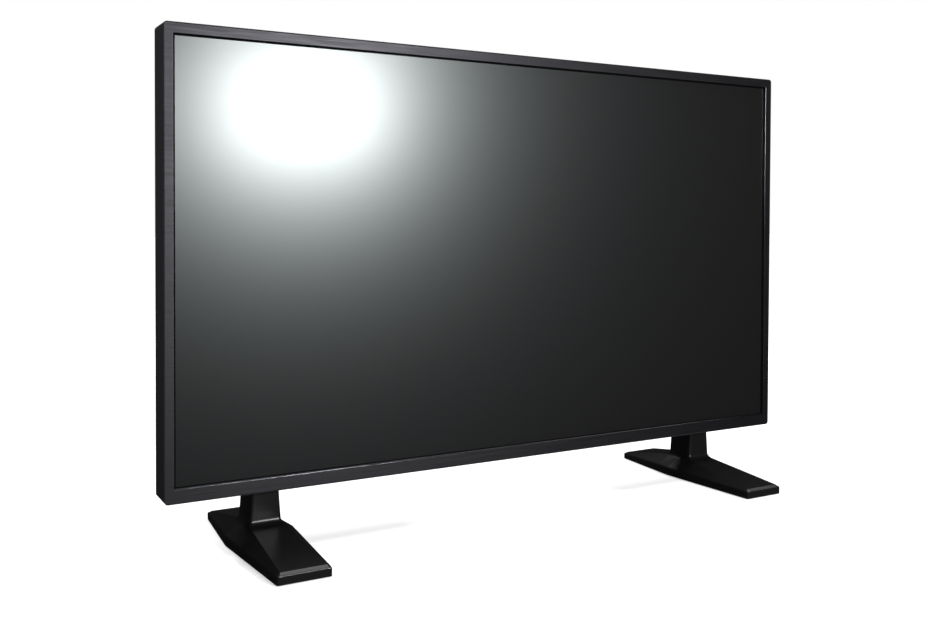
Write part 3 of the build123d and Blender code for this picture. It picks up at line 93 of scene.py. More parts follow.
Piece = bpy.types.Object
Tree = bpy.types.NodeTree
Triple = tuple[float, float, float]
Colour = tuple[float, float, float, float]
Value = float | tuple[float, ...] | bpy.types.NodeSocket | bpy.types.Node


class Body(Enum):
    """Bodies of the frame that a modelled piece can ride on."""

    DISPLAY = "display"
    ROCKER = "mains_rocker"


class Facing(Enum):
    """Ways that a piece can face, as degrees about X from a piece made facing up."""

    FRONT = 90.0
    BACK = -90.0
    DOWN = 180.0

    def turn(self) -> Matrix:
        """Return the turn that makes a piece face this way."""
        return Matrix.Rotation(math.radians(self.value), 4, "X")


def linear(hex_colour: str) -> Colour:
    """Turn an sRGB hex colour into linear light.

    Args:
        hex_colour: Six hex digits, such as "58585c".

    Returns:
        Red, green and blue in linear light, and full opacity.
    """
    channels = []
    for level in bytes.fromhex(hex_colour):
        share = level / FULL_CHANNEL
        if share <= STRAIGHT_END:
            channels.append(share / STRAIGHT_SLOPE)
        else:
            channels.append(((share + CURVE_OFFSET) / (1.0 + CURVE_OFFSET)) ** CURVE_POWER)
    return (*channels, 1.0)


def per_metre(length_mm: float) -> float:
    """Turn a pattern's spacing in millimetres into its scale on Object coordinates."""
    return 1.0 / (length_mm * MM)


def shaded(colour: Colour, share: float) -> Colour:
    """Make a colour lighter, or darker where the share is below 0.

    Args:
        colour: The colour in linear light.
        share: How much lighter, 0.1 for a tenth.

    Returns:
        The changed colour, never above white.
    """
    return (*(min(1.0, channel * (1.0 + share)) for channel in colour[:3]), 1.0)


def either_way(middle: float, stray: float) -> dict[str, float]:
    """Give the ends of a range that strays so far either way, never below 0."""
    return {"To Min": max(0.0, middle - stray), "To Max": middle + stray}


def hexagon_corner(flats_mm: float) -> float:
    """Turn a hexagon's size across its flats into the radius at its corners."""
    return flats_mm / math.sqrt(3.0)


def blank_tree(owner: bpy.types.Material | bpy.types.World) -> Tree:
    """Give a new material or world an empty node tree.

    Args:
        owner: The material or the world.

    Returns:
        Its node tree.
    """
    owner.use_nodes = True
    owner.node_tree.nodes.clear()
    return owner.node_tree


def add_node(
    tree: Tree,
    kind: str,
    settings: dict[str, object] | None = None,
    inputs: dict[str | int, Value] | None = None,
) -> bpy.types.Node:
    """Add one node to a tree with its settings and its links.

    Args:
        tree: The node tree of a material or of the world.
        kind: Blender's name for the kind of node.
        settings: Properties of the node, by name.
        inputs: By input name or number, a plain value, an output to link, or a node
            whose first output is linked.

    Returns:
        The new node.
    """
    node = tree.nodes.new(kind)
    for name, value in (settings or {}).items():
        setattr(node, name, value)
    for name, value in (inputs or {}).items():
        if isinstance(value, bpy.types.Node):
            value = value.outputs[0]
        if isinstance(value, bpy.types.NodeSocket):
            tree.links.new(value, node.inputs[name])
        else:
            node.inputs[name].default_value = value
    return node


def stretched_noise(tree: Tree, place: Value, size_mm: Triple, layers: float) -> bpy.types.Node:
    """Add a cloudy pattern that has its own size along each axis.

    Args:
        tree: The material's node tree.
        place: The coordinates on the piece.
        size_mm: Size of the pattern along X, Y and Z.
        layers: How many finer layers it has.

    Returns:
        The pattern's node, from 0 in its hollows to 1 on its tops.
    """
    scale = tuple(per_metre(size) for size in size_mm)
    spaced = add_node(tree, "ShaderNodeMapping", None, {"Vector": place, "Scale": scale})
    inputs = {"Vector": spaced, "Scale": 1.0, "Detail": layers}
    return add_node(tree, "ShaderNodeTexNoise", None, inputs)


@dataclass(frozen=True)
class Finish:
    """What every finish has, and the grain that most of them show.

    Attributes:
        name: The finish's name, after its material and how it was made.
        colour: The sRGB hex colour.
        roughness: The shader's roughness.
        specular: The shader's specular level, 0.5 for a common plastic.
        tint: The sRGB hex colour that reflections take on.
        grain_mm: Size of the grain along X, Y and Z.
        grain_layers: How many finer layers the grain has.
        grain_shade: How much lighter the grain's tops are than its ground.
        grain_gloss: How far the roughness strays either way.
        grain_depth_mm: Depth of the grain.
    """

    name: str
    colour: str
    roughness: float
    specular: float = 0.5
    tint: str = "ffffff"
    grain_mm: Triple = (1.0, 1.0, 1.0)
    grain_layers: float = 2.0
    grain_shade: float = 0.1
    grain_gloss: float = 0.03
    grain_depth_mm: float = 0.01

    def build(self) -> bpy.types.Material:
        """Build the finish as a material.

        Returns:
            The material.
        """
        material = bpy.data.materials.new(self.name)
        tree = blank_tree(material)
        place = add_node(tree, "ShaderNodeTexCoord").outputs["Object"]
        inputs = {
            "Base Color": linear(self.colour),
            "Roughness": self.roughness,
            "Specular IOR Level": self.specular,
            "Specular Tint": linear(self.tint),
        }
        inputs.update(self.fixed())
        inputs.update(self.pattern(tree, place))
        surface = add_node(tree, "ShaderNodeBsdfPrincipled", None, inputs)
        add_node(tree, "ShaderNodeOutputMaterial", None, {"Surface": surface})
        return material

    def fixed(self) -> dict[str, Value]:
        """Give the further shader inputs that are the same all over the surface."""
        return {}

    def gloss(self, tree: Tree, place: Value, grain: bpy.types.Node) -> Value:
        """Give the roughness, which follows the grain.

        Args:
            tree: The material's node tree.
            place: The coordinates on the piece, which aren't used here.
            grain: The grain's node.

        Returns:
            What goes into the shader's roughness.
        """
        ends = {"Value": grain, **either_way(self.roughness, self.grain_gloss)}
        return add_node(tree, "ShaderNodeMapRange", None, ends)

    def pattern(self, tree: Tree, place: Value) -> dict[str, Value]:
        """Add the pattern, here the plain grain.

        Args:
            tree: The material's node tree.
            place: The coordinates on the piece.

        Returns:
            The shader inputs that follow the pattern.
        """
        grain = stretched_noise(tree, place, self.grain_mm, self.grain_layers)
        ground = linear(self.colour)
        mix = {MIX_SHARE: grain, COLOUR_A: ground, COLOUR_B: shaded(ground, self.grain_shade)}
        colour = add_node(tree, "ShaderNodeMix", {"data_type": "RGBA"}, mix)
        height = {"Height": grain, "Distance": self.grain_depth_mm * MM}
        return {
            "Base Color": colour.outputs[MIXED_COLOUR],
            "Roughness": self.gloss(tree, place, grain),
            "Normal": add_node(tree, "ShaderNodeBump", None, height),
        }


@dataclass(frozen=True)
class MouldedPlastic(Finish):
    """Injection moulding with the fine grain that a spark-eroded mould leaves.

    It looks even from afar and softly pebbled from near, with a faint change of
    gloss over a hand's width. The grain is drawn about twice as coarse as the
    real one, so that it shows.

    Attributes:
        patch_mm: Size of the patches of gloss.
        patch_gloss: How far the roughness strays from patch to patch.
    """

    grain_mm: Triple = (0.9, 0.9, 0.9)
    patch_mm: float = 70.0
    patch_gloss: float = 0.03

    def gloss(self, tree: Tree, place: Value, grain: bpy.types.Node) -> Value:
        """Give the roughness, which changes from patch to patch.

        Args:
            tree: The material's node tree.
            place: The coordinates on the piece.
            grain: The grain's node, which isn't used.

        Returns:
            What goes into the shader's roughness.
        """
        size = {"Vector": place, "Scale": per_metre(self.patch_mm)}
        patch = add_node(tree, "ShaderNodeTexNoise", None, size)
        ends = {"Value": patch, **either_way(self.roughness, self.patch_gloss)}
        return add_node(tree, "ShaderNodeMapRange", None, ends)


@dataclass(frozen=True)
class HairlinePlastic(MouldedPlastic):
    """Bezel moulding with dull black sides and a satin hairline front.

    The hairlines run level across the whole front and show as faint streaks, a
    little lighter or darker than each other. The satin finish takes in the
    round edge at the screen and stops just short of the outer edge, which is
    dull black like the sides.

    Attributes:
        front_colour: The sRGB hex colour of the front.
        front_roughness: Roughness of the front.
        spread: How much more the streaks spread light up and down than sideways, up to 1.
        front_mm: The plane just behind the round edge at the screen.
        half_width_mm: Half the width of the satin area.
        half_height_mm: Half its height.
        middle_mm: Height of its middle above the floor.
        line_mm: Size of a streak along X, Y and Z, wider than the real 0.2 mm so that it shows.
        line_layers: How many finer layers the streaks have.
        line_reach: The part of the noise that is stretched over all the streaks' shades.
        line_gloss: How far the roughness strays from streak to streak.
        line_depth_mm: Depth of the streaks.
        lip_mm: The plane just behind the flat front, where the round edge starts.
        lip_roughness: Roughness of the round edge, polished by the mould.
    """

    front_colour: str = "08080a"
    front_roughness: float = 0.45
    spread: float = 0.37
    front_mm: float = -27.9
    half_width_mm: float = 533.5
    half_height_mm: float = 309.1
    middle_mm: float = 392.7
    line_mm: Triple = (60.0, 60.0, 1.3)
    line_layers: float = 3.0
    line_reach: tuple[float, float] = (0.3, 0.7)
    line_gloss: float = 0.07
    line_depth_mm: float = 0.05
    lip_mm: float = -29.9
    lip_roughness: float = 0.15

    def fixed(self) -> dict[str, Value]:
        """Spread the light across the streaks, a quarter turn from their own run."""
        return {"Anisotropic": self.spread, "Anisotropic Rotation": QUARTER_TURN}

    def pattern(self, tree: Tree, place: Value) -> dict[str, Value]:
        """Add the streaks of the front to the grain of the sides.

        Args:
            tree: The material's node tree.
            place: The coordinates on the piece.

        Returns:
            The shader inputs that follow the pattern.
        """
        sides = super().pattern(tree, place)
        axes = add_node(tree, "ShaderNodeSeparateXYZ", None, {0: place})
        aside = add_node(tree, "ShaderNodeMath", {"operation": "ABSOLUTE"}, {0: axes})
        level = {0: axes.outputs["Z"], 1: self.middle_mm * MM}
        height = add_node(tree, "ShaderNodeMath", {"operation": "SUBTRACT"}, level)
        height = add_node(tree, "ShaderNodeMath", {"operation": "ABSOLUTE"}, {0: height})
        on_front = 1.0
        limits = (
            (axes.outputs["Y"], self.front_mm),
            (aside, self.half_width_mm),
            (height, self.half_height_mm),
        )
        for length, limit_mm in limits:
            span = {0: length, 1: limit_mm * MM}
            inside = add_node(tree, "ShaderNodeMath", {"operation": "LESS_THAN"}, span)
            both = {0: on_front, 1: inside}
            on_front = add_node(tree, "ShaderNodeMath", {"operation": "MULTIPLY"}, both)
        noise = stretched_noise(tree, place, self.line_mm, self.line_layers)
        low, high = self.line_reach
        stretch = {"Value": noise, "From Min": low, "From Max": high}
        lines = add_node(tree, "ShaderNodeMapRange", None, stretch)
        mix = {
            MIX_SHARE: on_front,
            COLOUR_A: sides["Base Color"],
            COLOUR_B: linear(self.front_colour),
        }
        colour = add_node(tree, "ShaderNodeMix", {"data_type": "RGBA"}, mix)
        ends = {"Value": lines, **either_way(self.front_roughness, self.line_gloss)}
        satin = add_node(tree, "ShaderNodeMapRange", None, ends)
        past = {0: axes.outputs["Y"], 1: self.lip_mm * MM}
        on_lip = add_node(tree, "ShaderNodeMath", {"operation": "GREATER_THAN"}, past)
        edge = {MIX_SHARE: on_lip, NUMBER_A: satin, NUMBER_B: self.lip_roughness}
        satin = add_node(tree, "ShaderNodeMix", None, edge)
        either = {MIX_SHARE: on_front, NUMBER_A: sides["Roughness"], NUMBER_B: satin}
        both = {0: on_front, 1: lines}
        raised = add_node(tree, "ShaderNodeMath", {"operation": "MULTIPLY"}, both)
        depth = {
            "Height": raised,
            "Distance": self.line_depth_mm * MM,
            "Normal": sides["Normal"],
        }
        return {
            "Base Color": colour.outputs[MIXED_COLOUR],
            "Roughness": add_node(tree, "ShaderNodeMix", None, either),
            "Normal": add_node(tree, "ShaderNodeBump", None, depth),
        }


@dataclass(frozen=True)
class AntiGlareFilm(Finish):
    """Matte film on the front of the screen.

    It blurs a lamp into a soft glow with a long fade and a faint green cast.
    Up close it has a fine sparkle, drawn wider than the real 0.05 mm so that it
    shows.

    Attributes:
        coat: Weight of the film's smoother outer coat.
        coat_roughness: Roughness of that coat, which sharpens the glow's middle.
        spread: How much more it spreads light up and down than sideways, up to 1.
    """

    grain_mm: Triple = (1.6, 1.6, 1.6)
    grain_layers: float = 3.0
    grain_shade: float = 0.05
    grain_depth_mm: float = 0.004
    coat: float = 0.36
    coat_roughness: float = 0.225
    spread: float = 0.1

    def fixed(self) -> dict[str, Value]:
        """Give the outer coat, and spread the light a little more up and down.

        Returns:
            The further shader inputs.
        """
        return {
            "Coat Weight": self.coat,
            "Coat Roughness": self.coat_roughness,
            "Anisotropic": self.spread,
            "Anisotropic Rotation": QUARTER_TURN,
        }


@dataclass(frozen=True)
class WorkedMetal(Finish):
    """Bare or plated metal that was extruded, turned or rolled.

    Fine lines from the die or the tool run along one axis.
    """

    grain_layers: float = 3.0
    grain_shade: float = -0.2
    grain_gloss: float = 0.08
    grain_depth_mm: float = 0.004

    def fixed(self) -> dict[str, Value]:
        """Make it a metal."""
        return {"Metallic": 1.0}


@dataclass(frozen=True)
class GalvanisedSheet(WorkedMetal):
    """Pressed steel sheet with a zinc coat.

    The coat shows as crystals a few millimetres wide, each a little lighter or
    darker than the next.

    Attributes:
        crystal_mm: Size of the zinc crystals.
        crystal_shade: How much lighter one crystal is than another.
    """

    crystal_mm: float = 7.0
    crystal_shade: float = 0.25

    def pattern(self, tree: Tree, place: Value) -> dict[str, Value]:
        """Add the zinc crystals.

        Args:
            tree: The material's node tree.
            place: The coordinates on the piece.

        Returns:
            The shader inputs that follow the pattern.
        """
        size = {"Vector": place, "Scale": per_metre(self.crystal_mm)}
        crystals = add_node(tree, "ShaderNodeTexVoronoi", None, size)
        colours = {"Color": crystals.outputs["Color"]}
        shade = add_node(tree, "ShaderNodeSeparateColor", None, colours)
        ground = linear(self.colour)
        mix = {MIX_SHARE: shade, COLOUR_A: ground, COLOUR_B: shaded(ground, self.crystal_shade)}
        colour = add_node(tree, "ShaderNodeMix", {"data_type": "RGBA"}, mix)
        return {
            "Base Color": colour.outputs[MIXED_COLOUR],
            "Roughness": self.gloss(tree, place, shade),
        }


@dataclass(frozen=True)
class CircuitLaminate(Finish):
    """Glass epoxy board under a solder mask, with its copper tracks showing through.

    Tracks are a little lighter and raised. What stands on the board is dark.

    Attributes:
        track_mm: Size of the fields between the tracks.
        track_share: How much of a field's width a track takes.
        track_shade: How much lighter a track is.
        track_depth_mm: How far a track stands out.
        board_back_mm: The plane of the board's back face.
        part_colour: The sRGB hex colour of what stands on it.
    """

    track_mm: float = 5.0
    track_share: float = 0.08
    track_shade: float = 0.9
    track_depth_mm: float = 0.035
    board_back_mm: float = 26.5
    part_colour: str = "1d1d20"

    def pattern(self, tree: Tree, place: Value) -> dict[str, Value]:
        """Add the tracks, and darken what stands on the board.

        Args:
            tree: The material's node tree.
            place: The coordinates on the piece.

        Returns:
            The shader inputs that follow the pattern.
        """
        size = {"Vector": place, "Scale": per_metre(self.track_mm)}
        fields = add_node(tree, "ShaderNodeTexVoronoi", {"feature": "DISTANCE_TO_EDGE"}, size)
        width = {0: fields, 1: self.track_share}
        tracks = add_node(tree, "ShaderNodeMath", {"operation": "LESS_THAN"}, width)
        ground = linear(self.colour)
        mix = {MIX_SHARE: tracks, COLOUR_A: ground, COLOUR_B: shaded(ground, self.track_shade)}
        mask = add_node(tree, "ShaderNodeMix", {"data_type": "RGBA"}, mix)
        axes = add_node(tree, "ShaderNodeSeparateXYZ", None, {0: place})
        behind = {0: axes.outputs["Y"], 1: self.board_back_mm * MM}
        on_parts = add_node(tree, "ShaderNodeMath", {"operation": "GREATER_THAN"}, behind)
        mix = {
            MIX_SHARE: on_parts,
            COLOUR_A: mask.outputs[MIXED_COLOUR],
            COLOUR_B: linear(self.part_colour),
        }
        colour = add_node(tree, "ShaderNodeMix", {"data_type": "RGBA"}, mix)
        height = {"Height": tracks, "Distance": self.track_depth_mm * MM}
        return {
            "Base Color": colour.outputs[MIXED_COLOUR],
            "Normal": add_node(tree, "ShaderNodeBump", None, height),
        }


@dataclass(frozen=True)
class ClearSheet(Finish):
    """Clear or frosted sheet: glass, acrylic or an optical film.

    A faint unevenness of the frosting keeps it from looking like air.

    Attributes:
        clearness: How much light goes straight through, from 0 to 1.
        ior: Index of refraction of the real material.
    """

    grain_mm: Triple = (1.2, 1.2, 1.2)
    grain_gloss: float = 0.05
    grain_depth_mm: float = 0.001
    clearness: float = 1.0
    ior: float = 1.5

    def fixed(self) -> dict[str, Value]:
        """Give the clearness and the index of refraction."""
        return {"Transmission Weight": self.clearness, "IOR": self.ior}


@dataclass(frozen=True)
class PressedFibre(Finish):
    """Pressed paper pulp, rubber or foam: dull, with loose fibres or open cells."""

    grain_mm: Triple = (1.5, 1.5, 1.5)
    grain_layers: float = 4.0
    grain_shade: float = 0.4
    grain_depth_mm: float = 0.15


@dataclass(frozen=True)
class PrintedFoil(Finish):
    """Thin plastic foil with copper conductors laminated in it.

    The conductors show as even stripes along the foil.

    Attributes:
        pitch_mm: Spacing of the conductors.
        bare_share: How much of the pitch has no conductor.
        metal_colour: The sRGB hex colour of the conductors through the foil.
        metal_depth_mm: How far the conductors stand out.
    """

    pitch_mm: float = 2.0
    bare_share: float = 0.45
    metal_colour: str = "c98a4a"
    metal_depth_mm: float = 0.03

    def pattern(self, tree: Tree, place: Value) -> dict[str, Value]:
        """Add the stripes of the conductors.

        Args:
            tree: The material's node tree.
            place: The coordinates on the piece.

        Returns:
            The shader inputs that follow the pattern.
        """
        axes = add_node(tree, "ShaderNodeSeparateXYZ", None, {0: place})
        turns = {0: axes, 1: per_metre(self.pitch_mm)}
        turns = add_node(tree, "ShaderNodeMath", {"operation": "MULTIPLY"}, turns)
        turn = add_node(tree, "ShaderNodeMath", {"operation": "FRACT"}, {0: turns})
        share = {0: turn, 1: self.bare_share}
        metal = add_node(tree, "ShaderNodeMath", {"operation": "GREATER_THAN"}, share)
        mix = {
            MIX_SHARE: metal,
            COLOUR_A: linear(self.colour),
            COLOUR_B: linear(self.metal_colour),
        }
        colour = add_node(tree, "ShaderNodeMix", {"data_type": "RGBA"}, mix)
        height = {"Height": metal, "Distance": self.metal_depth_mm * MM}
        return {
            "Base Color": colour.outputs[MIXED_COLOUR],
            "Normal": add_node(tree, "ShaderNodeBump", None, height),
        }


@dataclass(frozen=True)
class Garment:
    """A finish with the nodes of the frame that wear it.

    Attributes:
        slot: The record's material slot.
        finish: The finish.
        nodes: The nodes that wear it.
    """

    slot: str
    finish: Finish
    nodes: tuple[str, ...]

    def put_on(self, nodes: dict[str, Piece]) -> bpy.types.Material:
        """Give the nodes their finish.

        Args:
            nodes: The frame's nodes by name.

        Returns:
            The material.
        """
        material = self.finish.build()
        for name in self.nodes:
            slots = nodes[name].data.materials
            slots.clear()
            slots.append(material)
            LOG.info("%s wears %s", name, self.finish.name)
        return material


KEYS = tuple(
    f"{name}_key"
    for name in ("energy", "input", "volume_down", "volume_up", "set", "menu", "power")
)

WARDROBE = (
    Garment(
        "bezel_plastic",
        HairlinePlastic(
            "hairline_abs_bezel", "111113", 0.85, 0.42, "f5f4ff", grain_depth_mm=0.008
        ),
        ("front_bezel",),
    ),
    Garment(
        "cover_plastic",
        MouldedPlastic(
            "spark_eroded_abs", "1e1e1f", 0.55, 0.4, grain_mm=(1.1, 1.1, 1.1), grain_depth_mm=0.03
        ),
        ("rear_cover",),
    ),
    Garment("key_plastic", MouldedPlastic("polished_abs_key", "232325", 0.35), KEYS),
    Garment(
        "foot_plastic",
        MouldedPlastic("satin_abs_foot", "111112", 0.31, 0.3, grain_depth_mm=0.006),
        ("foot_cover_left", "foot_cover_right"),
    ),
    Garment(
        "screen_film",
        AntiGlareFilm("anti_glare_film", "100f10", 0.3, 0.5, "f3fefe"),
        ("front_polariser",),
    ),
    Garment(
        "panel_glass",
        ClearSheet("panel_glass", "2a2d2d", 0.03, clearness=0.2, ior=1.51),
        ("lcd_glass",),
    ),
    Garment(
        "gasket_foam",
        PressedFibre("closed_cell_foam", "060606", 0.9, 0.05, grain_depth_mm=0.08),
        ("screen_gasket",),
    ),
    Garment("foil_amber", PrintedFoil("polyimide_foil", "8a4a16", 0.3), ("panel_films",)),
    Garment(
        "frame_steel",
        MouldedPlastic("powder_coated_steel", "1a1a1a", 0.5),
        ("module_front_frame",),
    ),
    Garment(
        "frame_plastic",
        MouldedPlastic("white_polycarbonate", "d6d6d2", 0.45),
        ("module_mid_frame",),
    ),
    Garment(
        "optical_sheet",
        ClearSheet("frosted_optical_film", "e6e6e6", 0.5, clearness=0.5, ior=1.58),
        ("prism_sheet", "diffuser_sheet"),
    ),
    Garment(
        "guide_acrylic",
        ClearSheet("cast_acrylic_guide", "f2f6f6", 0.05, clearness=0.9, ior=1.49),
        ("light_guide",),
    ),
    Garment(
        "reflector_film",
        MouldedPlastic("white_polyester_film", "ececea", 0.35, grain_shade=0.02),
        ("reflector_sheet",),
    ),
    Garment("led_board", MouldedPlastic("white_solder_mask", "e0e0da", 0.4), ("led_strips",)),
    Garment(
        "rail_aluminium",
        WorkedMetal("extruded_aluminium_rail", "c9cbce", 0.38, grain_mm=(0.5, 0.5, 60.0)),
        ("led_rails",),
    ),
    Garment(
        "tray_steel",
        GalvanisedSheet("galvanised_sheet", "a4a8ab", 0.38, grain_gloss=0.06),
        (
            "backlight_tray",
            "timing_shield",
            "board_carrier",
            "wall_mount_rails",
            "cover_brackets",
        ),
    ),
    Garment(
        "circuit_board",
        CircuitLaminate("green_solder_mask", "0e4a26", 0.35),
        (
            "source_boards",
            "timing_board",
            "main_board",
            "power_board",
            "key_board",
            "receiver_board",
        ),
    ),
    Garment(
        "sink_aluminium",
        WorkedMetal("extruded_aluminium_sink", "b9bbbf", 0.42, grain_mm=(0.5, 0.5, 60.0)),
        ("main_heatsink", "power_heatsinks"),
    ),
    Garment(
        "socket_steel",
        WorkedMetal("nickel_plated_shell", "c6c5bf", 0.3, grain_mm=(0.6, 0.6, 12.0)),
        ("hdmi_socket", "network_socket", "usb_socket", "terminal_plate"),
    ),
    Garment(
        "video_plastic",
        MouldedPlastic("socket_nylon", "1b1b1e", 0.45),
        ("dvi_socket", "vga_socket"),
    ),
    Garment("jack_plastic", MouldedPlastic("jack_nylon", "2f5a38", 0.42), ("audio_jack",)),
    Garment(
        "mains_plastic",
        MouldedPlastic("mains_nylon", "161617", 0.4),
        ("mains_inlet", "mains_switch"),
    ),
    Garment(
        "rocker_plastic",
        MouldedPlastic("polished_nylon_rocker", "121213", 0.28),
        ("mains_rocker",),
    ),
    Garment(
        "lead_insulation",
        MouldedPlastic("soft_pvc_sheath", "3a2f2a", 0.4),
        ("mains_leads", "power_harness"),
    ),
    Garment(
        "ribbon_film",
        PrintedFoil("white_flat_cable", "d8d8d4", 0.35, pitch_mm=1.25, metal_colour="b8bcc0"),
        ("signal_ribbon",),
    ),
    Garment(
        "speaker_plastic",
        MouldedPlastic("speaker_polystyrene", "202022", 0.5),
        ("speaker_boxes",),
    ),
    Garment(
        "driver_paper",
        PressedFibre("pressed_paper_cone", "26241f", 0.85, 0.2),
        ("speaker_drivers",),
    ),
    Garment(
        "receiver_plastic",
        ClearSheet("smoked_acrylic_window", "2a0d10", 0.08, clearness=0.35, ior=1.49),
        ("receiver_window",),
    ),
    Garment(
        "bush_steel",
        WorkedMetal("zinc_plated_bush", "b4b7ba", 0.34, grain_mm=(0.4, 30.0, 0.4)),
        ("wall_mount_bushes",),
    ),
    Garment(
        "screw_steel",
        WorkedMetal("black_zinc_screw", "4a4a4c", 0.36, grain_mm=(0.5, 20.0, 0.5)),
        ("cover_screws", "board_screws", "stand_bolts"),
    ),
    Garment(
        "stand_steel",
        WorkedMetal("zinc_plated_steel", "a9adb0", 0.42, grain_mm=(0.8, 0.8, 40.0)),
        ("foot_plates", "stand_posts", "stand_sockets"),
    ),
    Garment(
        "pad_rubber",
        PressedFibre("moulded_rubber_pad", "161616", 0.85, 0.3, grain_depth_mm=0.02),
        ("foot_pads",),
    ),
)


class Bench:
    """Modelling steps that the small pieces share."""

    @staticmethod
    def clear() -> None:
        """Deselect everything, so that a step acts on its own piece alone."""
        bpy.ops.object.select_all(action="DESELECT")

    @staticmethod
    def take(piece: Piece) -> None:
        """Select one piece alone and make it the active one.

        Args:
            piece: The piece to work on.
        """
        Bench.clear()
        piece.select_set(True)
        bpy.context.view_layer.objects.active = piece

    @staticmethod
    def round_blank(name: str, radius_mm: float, height_mm: float, sides: int) -> Piece:
        """Add a round or many-sided blank that stands on the origin.

        Args:
            name: The blank's name.
            radius_mm: Radius at its corners.
            height_mm: Its height.
            sides: How many sides it has.

        Returns:
            The blank, with its place in its mesh.
        """
        Bench.clear()
        bpy.ops.mesh.primitive_cylinder_add(
            vertices=sides,
            radius=radius_mm * MM,
            depth=height_mm * MM,
            location=(0.0, 0.0, height_mm / 2 * MM),
        )
        return Bench.settled(name)

    @staticmethod
    def square_blank(name: str, size_mm: Triple) -> Piece:
        """Add a square blank that stands on the origin.

        Args:
            name: The blank's name.
            size_mm: Its size along X, Y and Z.

        Returns:
            The blank, with its place in its mesh.
        """
        Bench.clear()
        bpy.ops.mesh.primitive_cube_add(size=1.0, location=(0.0, 0.0, size_mm[2] / 2 * MM))
        bpy.context.active_object.scale = Vector(size_mm) * MM
        return Bench.settled(name)

    @staticmethod
    def settled(name: str) -> Piece:
        """Name the new blank and put its place and size into its mesh.

        Args:
            name: The blank's name.

        Returns:
            The blank.
        """
        blank = bpy.context.active_object
        blank.name = name
        bpy.ops.object.transform_apply(location=True, rotation=True, scale=True)
        return blank

    @staticmethod
    def unpick(piece: Piece, kind: str) -> None:
        """Select nothing inside a piece, and leave it ready for one kind of element.

        Args:
            piece: The piece.
            kind: VERT, EDGE or FACE.
        """
        Bench.take(piece)
        bpy.ops.object.mode_set(mode="EDIT")
        bpy.ops.mesh.select_mode(type=kind)
        bpy.ops.mesh.select_all(action="DESELECT")
        bpy.ops.object.mode_set(mode="OBJECT")

    @staticmethod
    def pick(piece: Piece, direction: Vector) -> None:
        """Go into edit mode with the faces selected that face one way.

        Args:
            piece: The piece.
            direction: The way that they face.
        """
        Bench.unpick(piece, "FACE")
        for face in piece.data.polygons:
            face.select = face.normal.dot(direction) > SAME_WAY
        bpy.ops.object.mode_set(mode="EDIT")

    @staticmethod
    def round_rim(piece: Piece, radius_mm: float, steps: int) -> None:
        """Round the rim of a piece's top.

        Args:
            piece: The piece.
            radius_mm: The rounding's radius.
            steps: How many facets it has.
        """
        Bench.pick(piece, UP)
        bpy.ops.mesh.region_to_loop()
        bpy.ops.mesh.bevel(offset=radius_mm * MM, segments=steps, affect="EDGES")
        bpy.ops.object.mode_set(mode="OBJECT")

    @staticmethod
    def draw_out(piece: Piece, direction: Vector, inset_mm: float, length_mm: float) -> None:
        """Inset the end that faces one way and draw it out, or in where the length is negative.

        Args:
            piece: The piece.
            direction: The way that the end faces.
            inset_mm: How far the inset stands in from the end's rim.
            length_mm: How far it is drawn out.
        """
        Bench.pick(piece, direction)
        bpy.ops.mesh.inset(thickness=inset_mm * MM)
        step = {"value": direction * length_mm * MM}
        bpy.ops.mesh.extrude_region_move(TRANSFORM_OT_translate=step)
        bpy.ops.object.mode_set(mode="OBJECT")

    @staticmethod
    def narrow(piece: Piece, direction: Vector, shares: Triple) -> None:
        """Narrow the end that faces one way, for a taper.

        Args:
            piece: The piece.
            direction: The way that the end faces.
            shares: What is left of its size along X, Y and Z.
        """
        Bench.pick(piece, direction)
        bpy.ops.transform.resize(value=shares)
        bpy.ops.object.mode_set(mode="OBJECT")

    @staticmethod
    def move(piece: Piece, step_mm: Vector) -> None:
        """Move a piece inside its own mesh.

        Args:
            piece: The piece.
            step_mm: How far along X, Y and Z.
        """
        Bench.take(piece)
        bpy.ops.transform.translate(value=step_mm * MM)
        bpy.ops.object.transform_apply(location=True, rotation=False, scale=False)

    @staticmethod
    def repeat(piece: Piece, count: int, pitch_mm: float) -> None:
        """Repeat a piece in a row along X, centred on where it stands.

        Args:
            piece: The piece.
            count: How many there are.
            pitch_mm: From one to the next.
        """
        Bench.take(piece)
        row = piece.modifiers.new("row", "ARRAY")
        row.count = count
        row.use_relative_offset = False
        row.use_constant_offset = True
        row.constant_offset_displace = (pitch_mm * MM, 0.0, 0.0)
        bpy.ops.object.modifier_apply(modifier=row.name)
        Bench.move(piece, Vector((-(count - 1) / 2 * pitch_mm, 0.0, 0.0)))

    @staticmethod
    def cut(piece: Piece, cutter: Piece) -> None:
        """Cut one piece out of another, and throw the cutter away.

        Args:
            piece: The piece that is cut.
            cutter: The shape that is cut out.
        """
        Bench.take(piece)
        cutting = piece.modifiers.new("cut", "BOOLEAN")
        cutting.operation = "DIFFERENCE"
        cutting.solver = "EXACT"
        cutting.object = cutter
        bpy.ops.object.modifier_apply(modifier=cutting.name)
        bpy.data.objects.remove(cutter)

    @staticmethod
    def shade(piece: Piece) -> None:
        """Shade a piece smoothly, but for its sharp edges.

        Args:
            piece: The piece.
        """
        Bench.take(piece)
        bpy.ops.object.shade_smooth_by_angle(angle=SMOOTH_ANGLE)
        Bench.clear()

    @staticmethod
    def copy(model: Piece, name: str, facing: Facing, place_mm: Triple) -> Piece:
        """Copy a finished model, with its own mesh, to a place.

        Args:
            model: The model, made facing up at the origin.
            name: The copy's name.
            facing: The way that the copy faces.
            place_mm: Where its origin goes.

        Returns:
            The copy, with its place in its mesh.
        """
        mesh = model.data.copy()
        mesh.transform(Matrix.Translation(Vector(place_mm) * MM) @ facing.turn())
        piece = bpy.data.objects.new(name, mesh)
        bpy.context.scene.collection.objects.link(piece)
        return piece


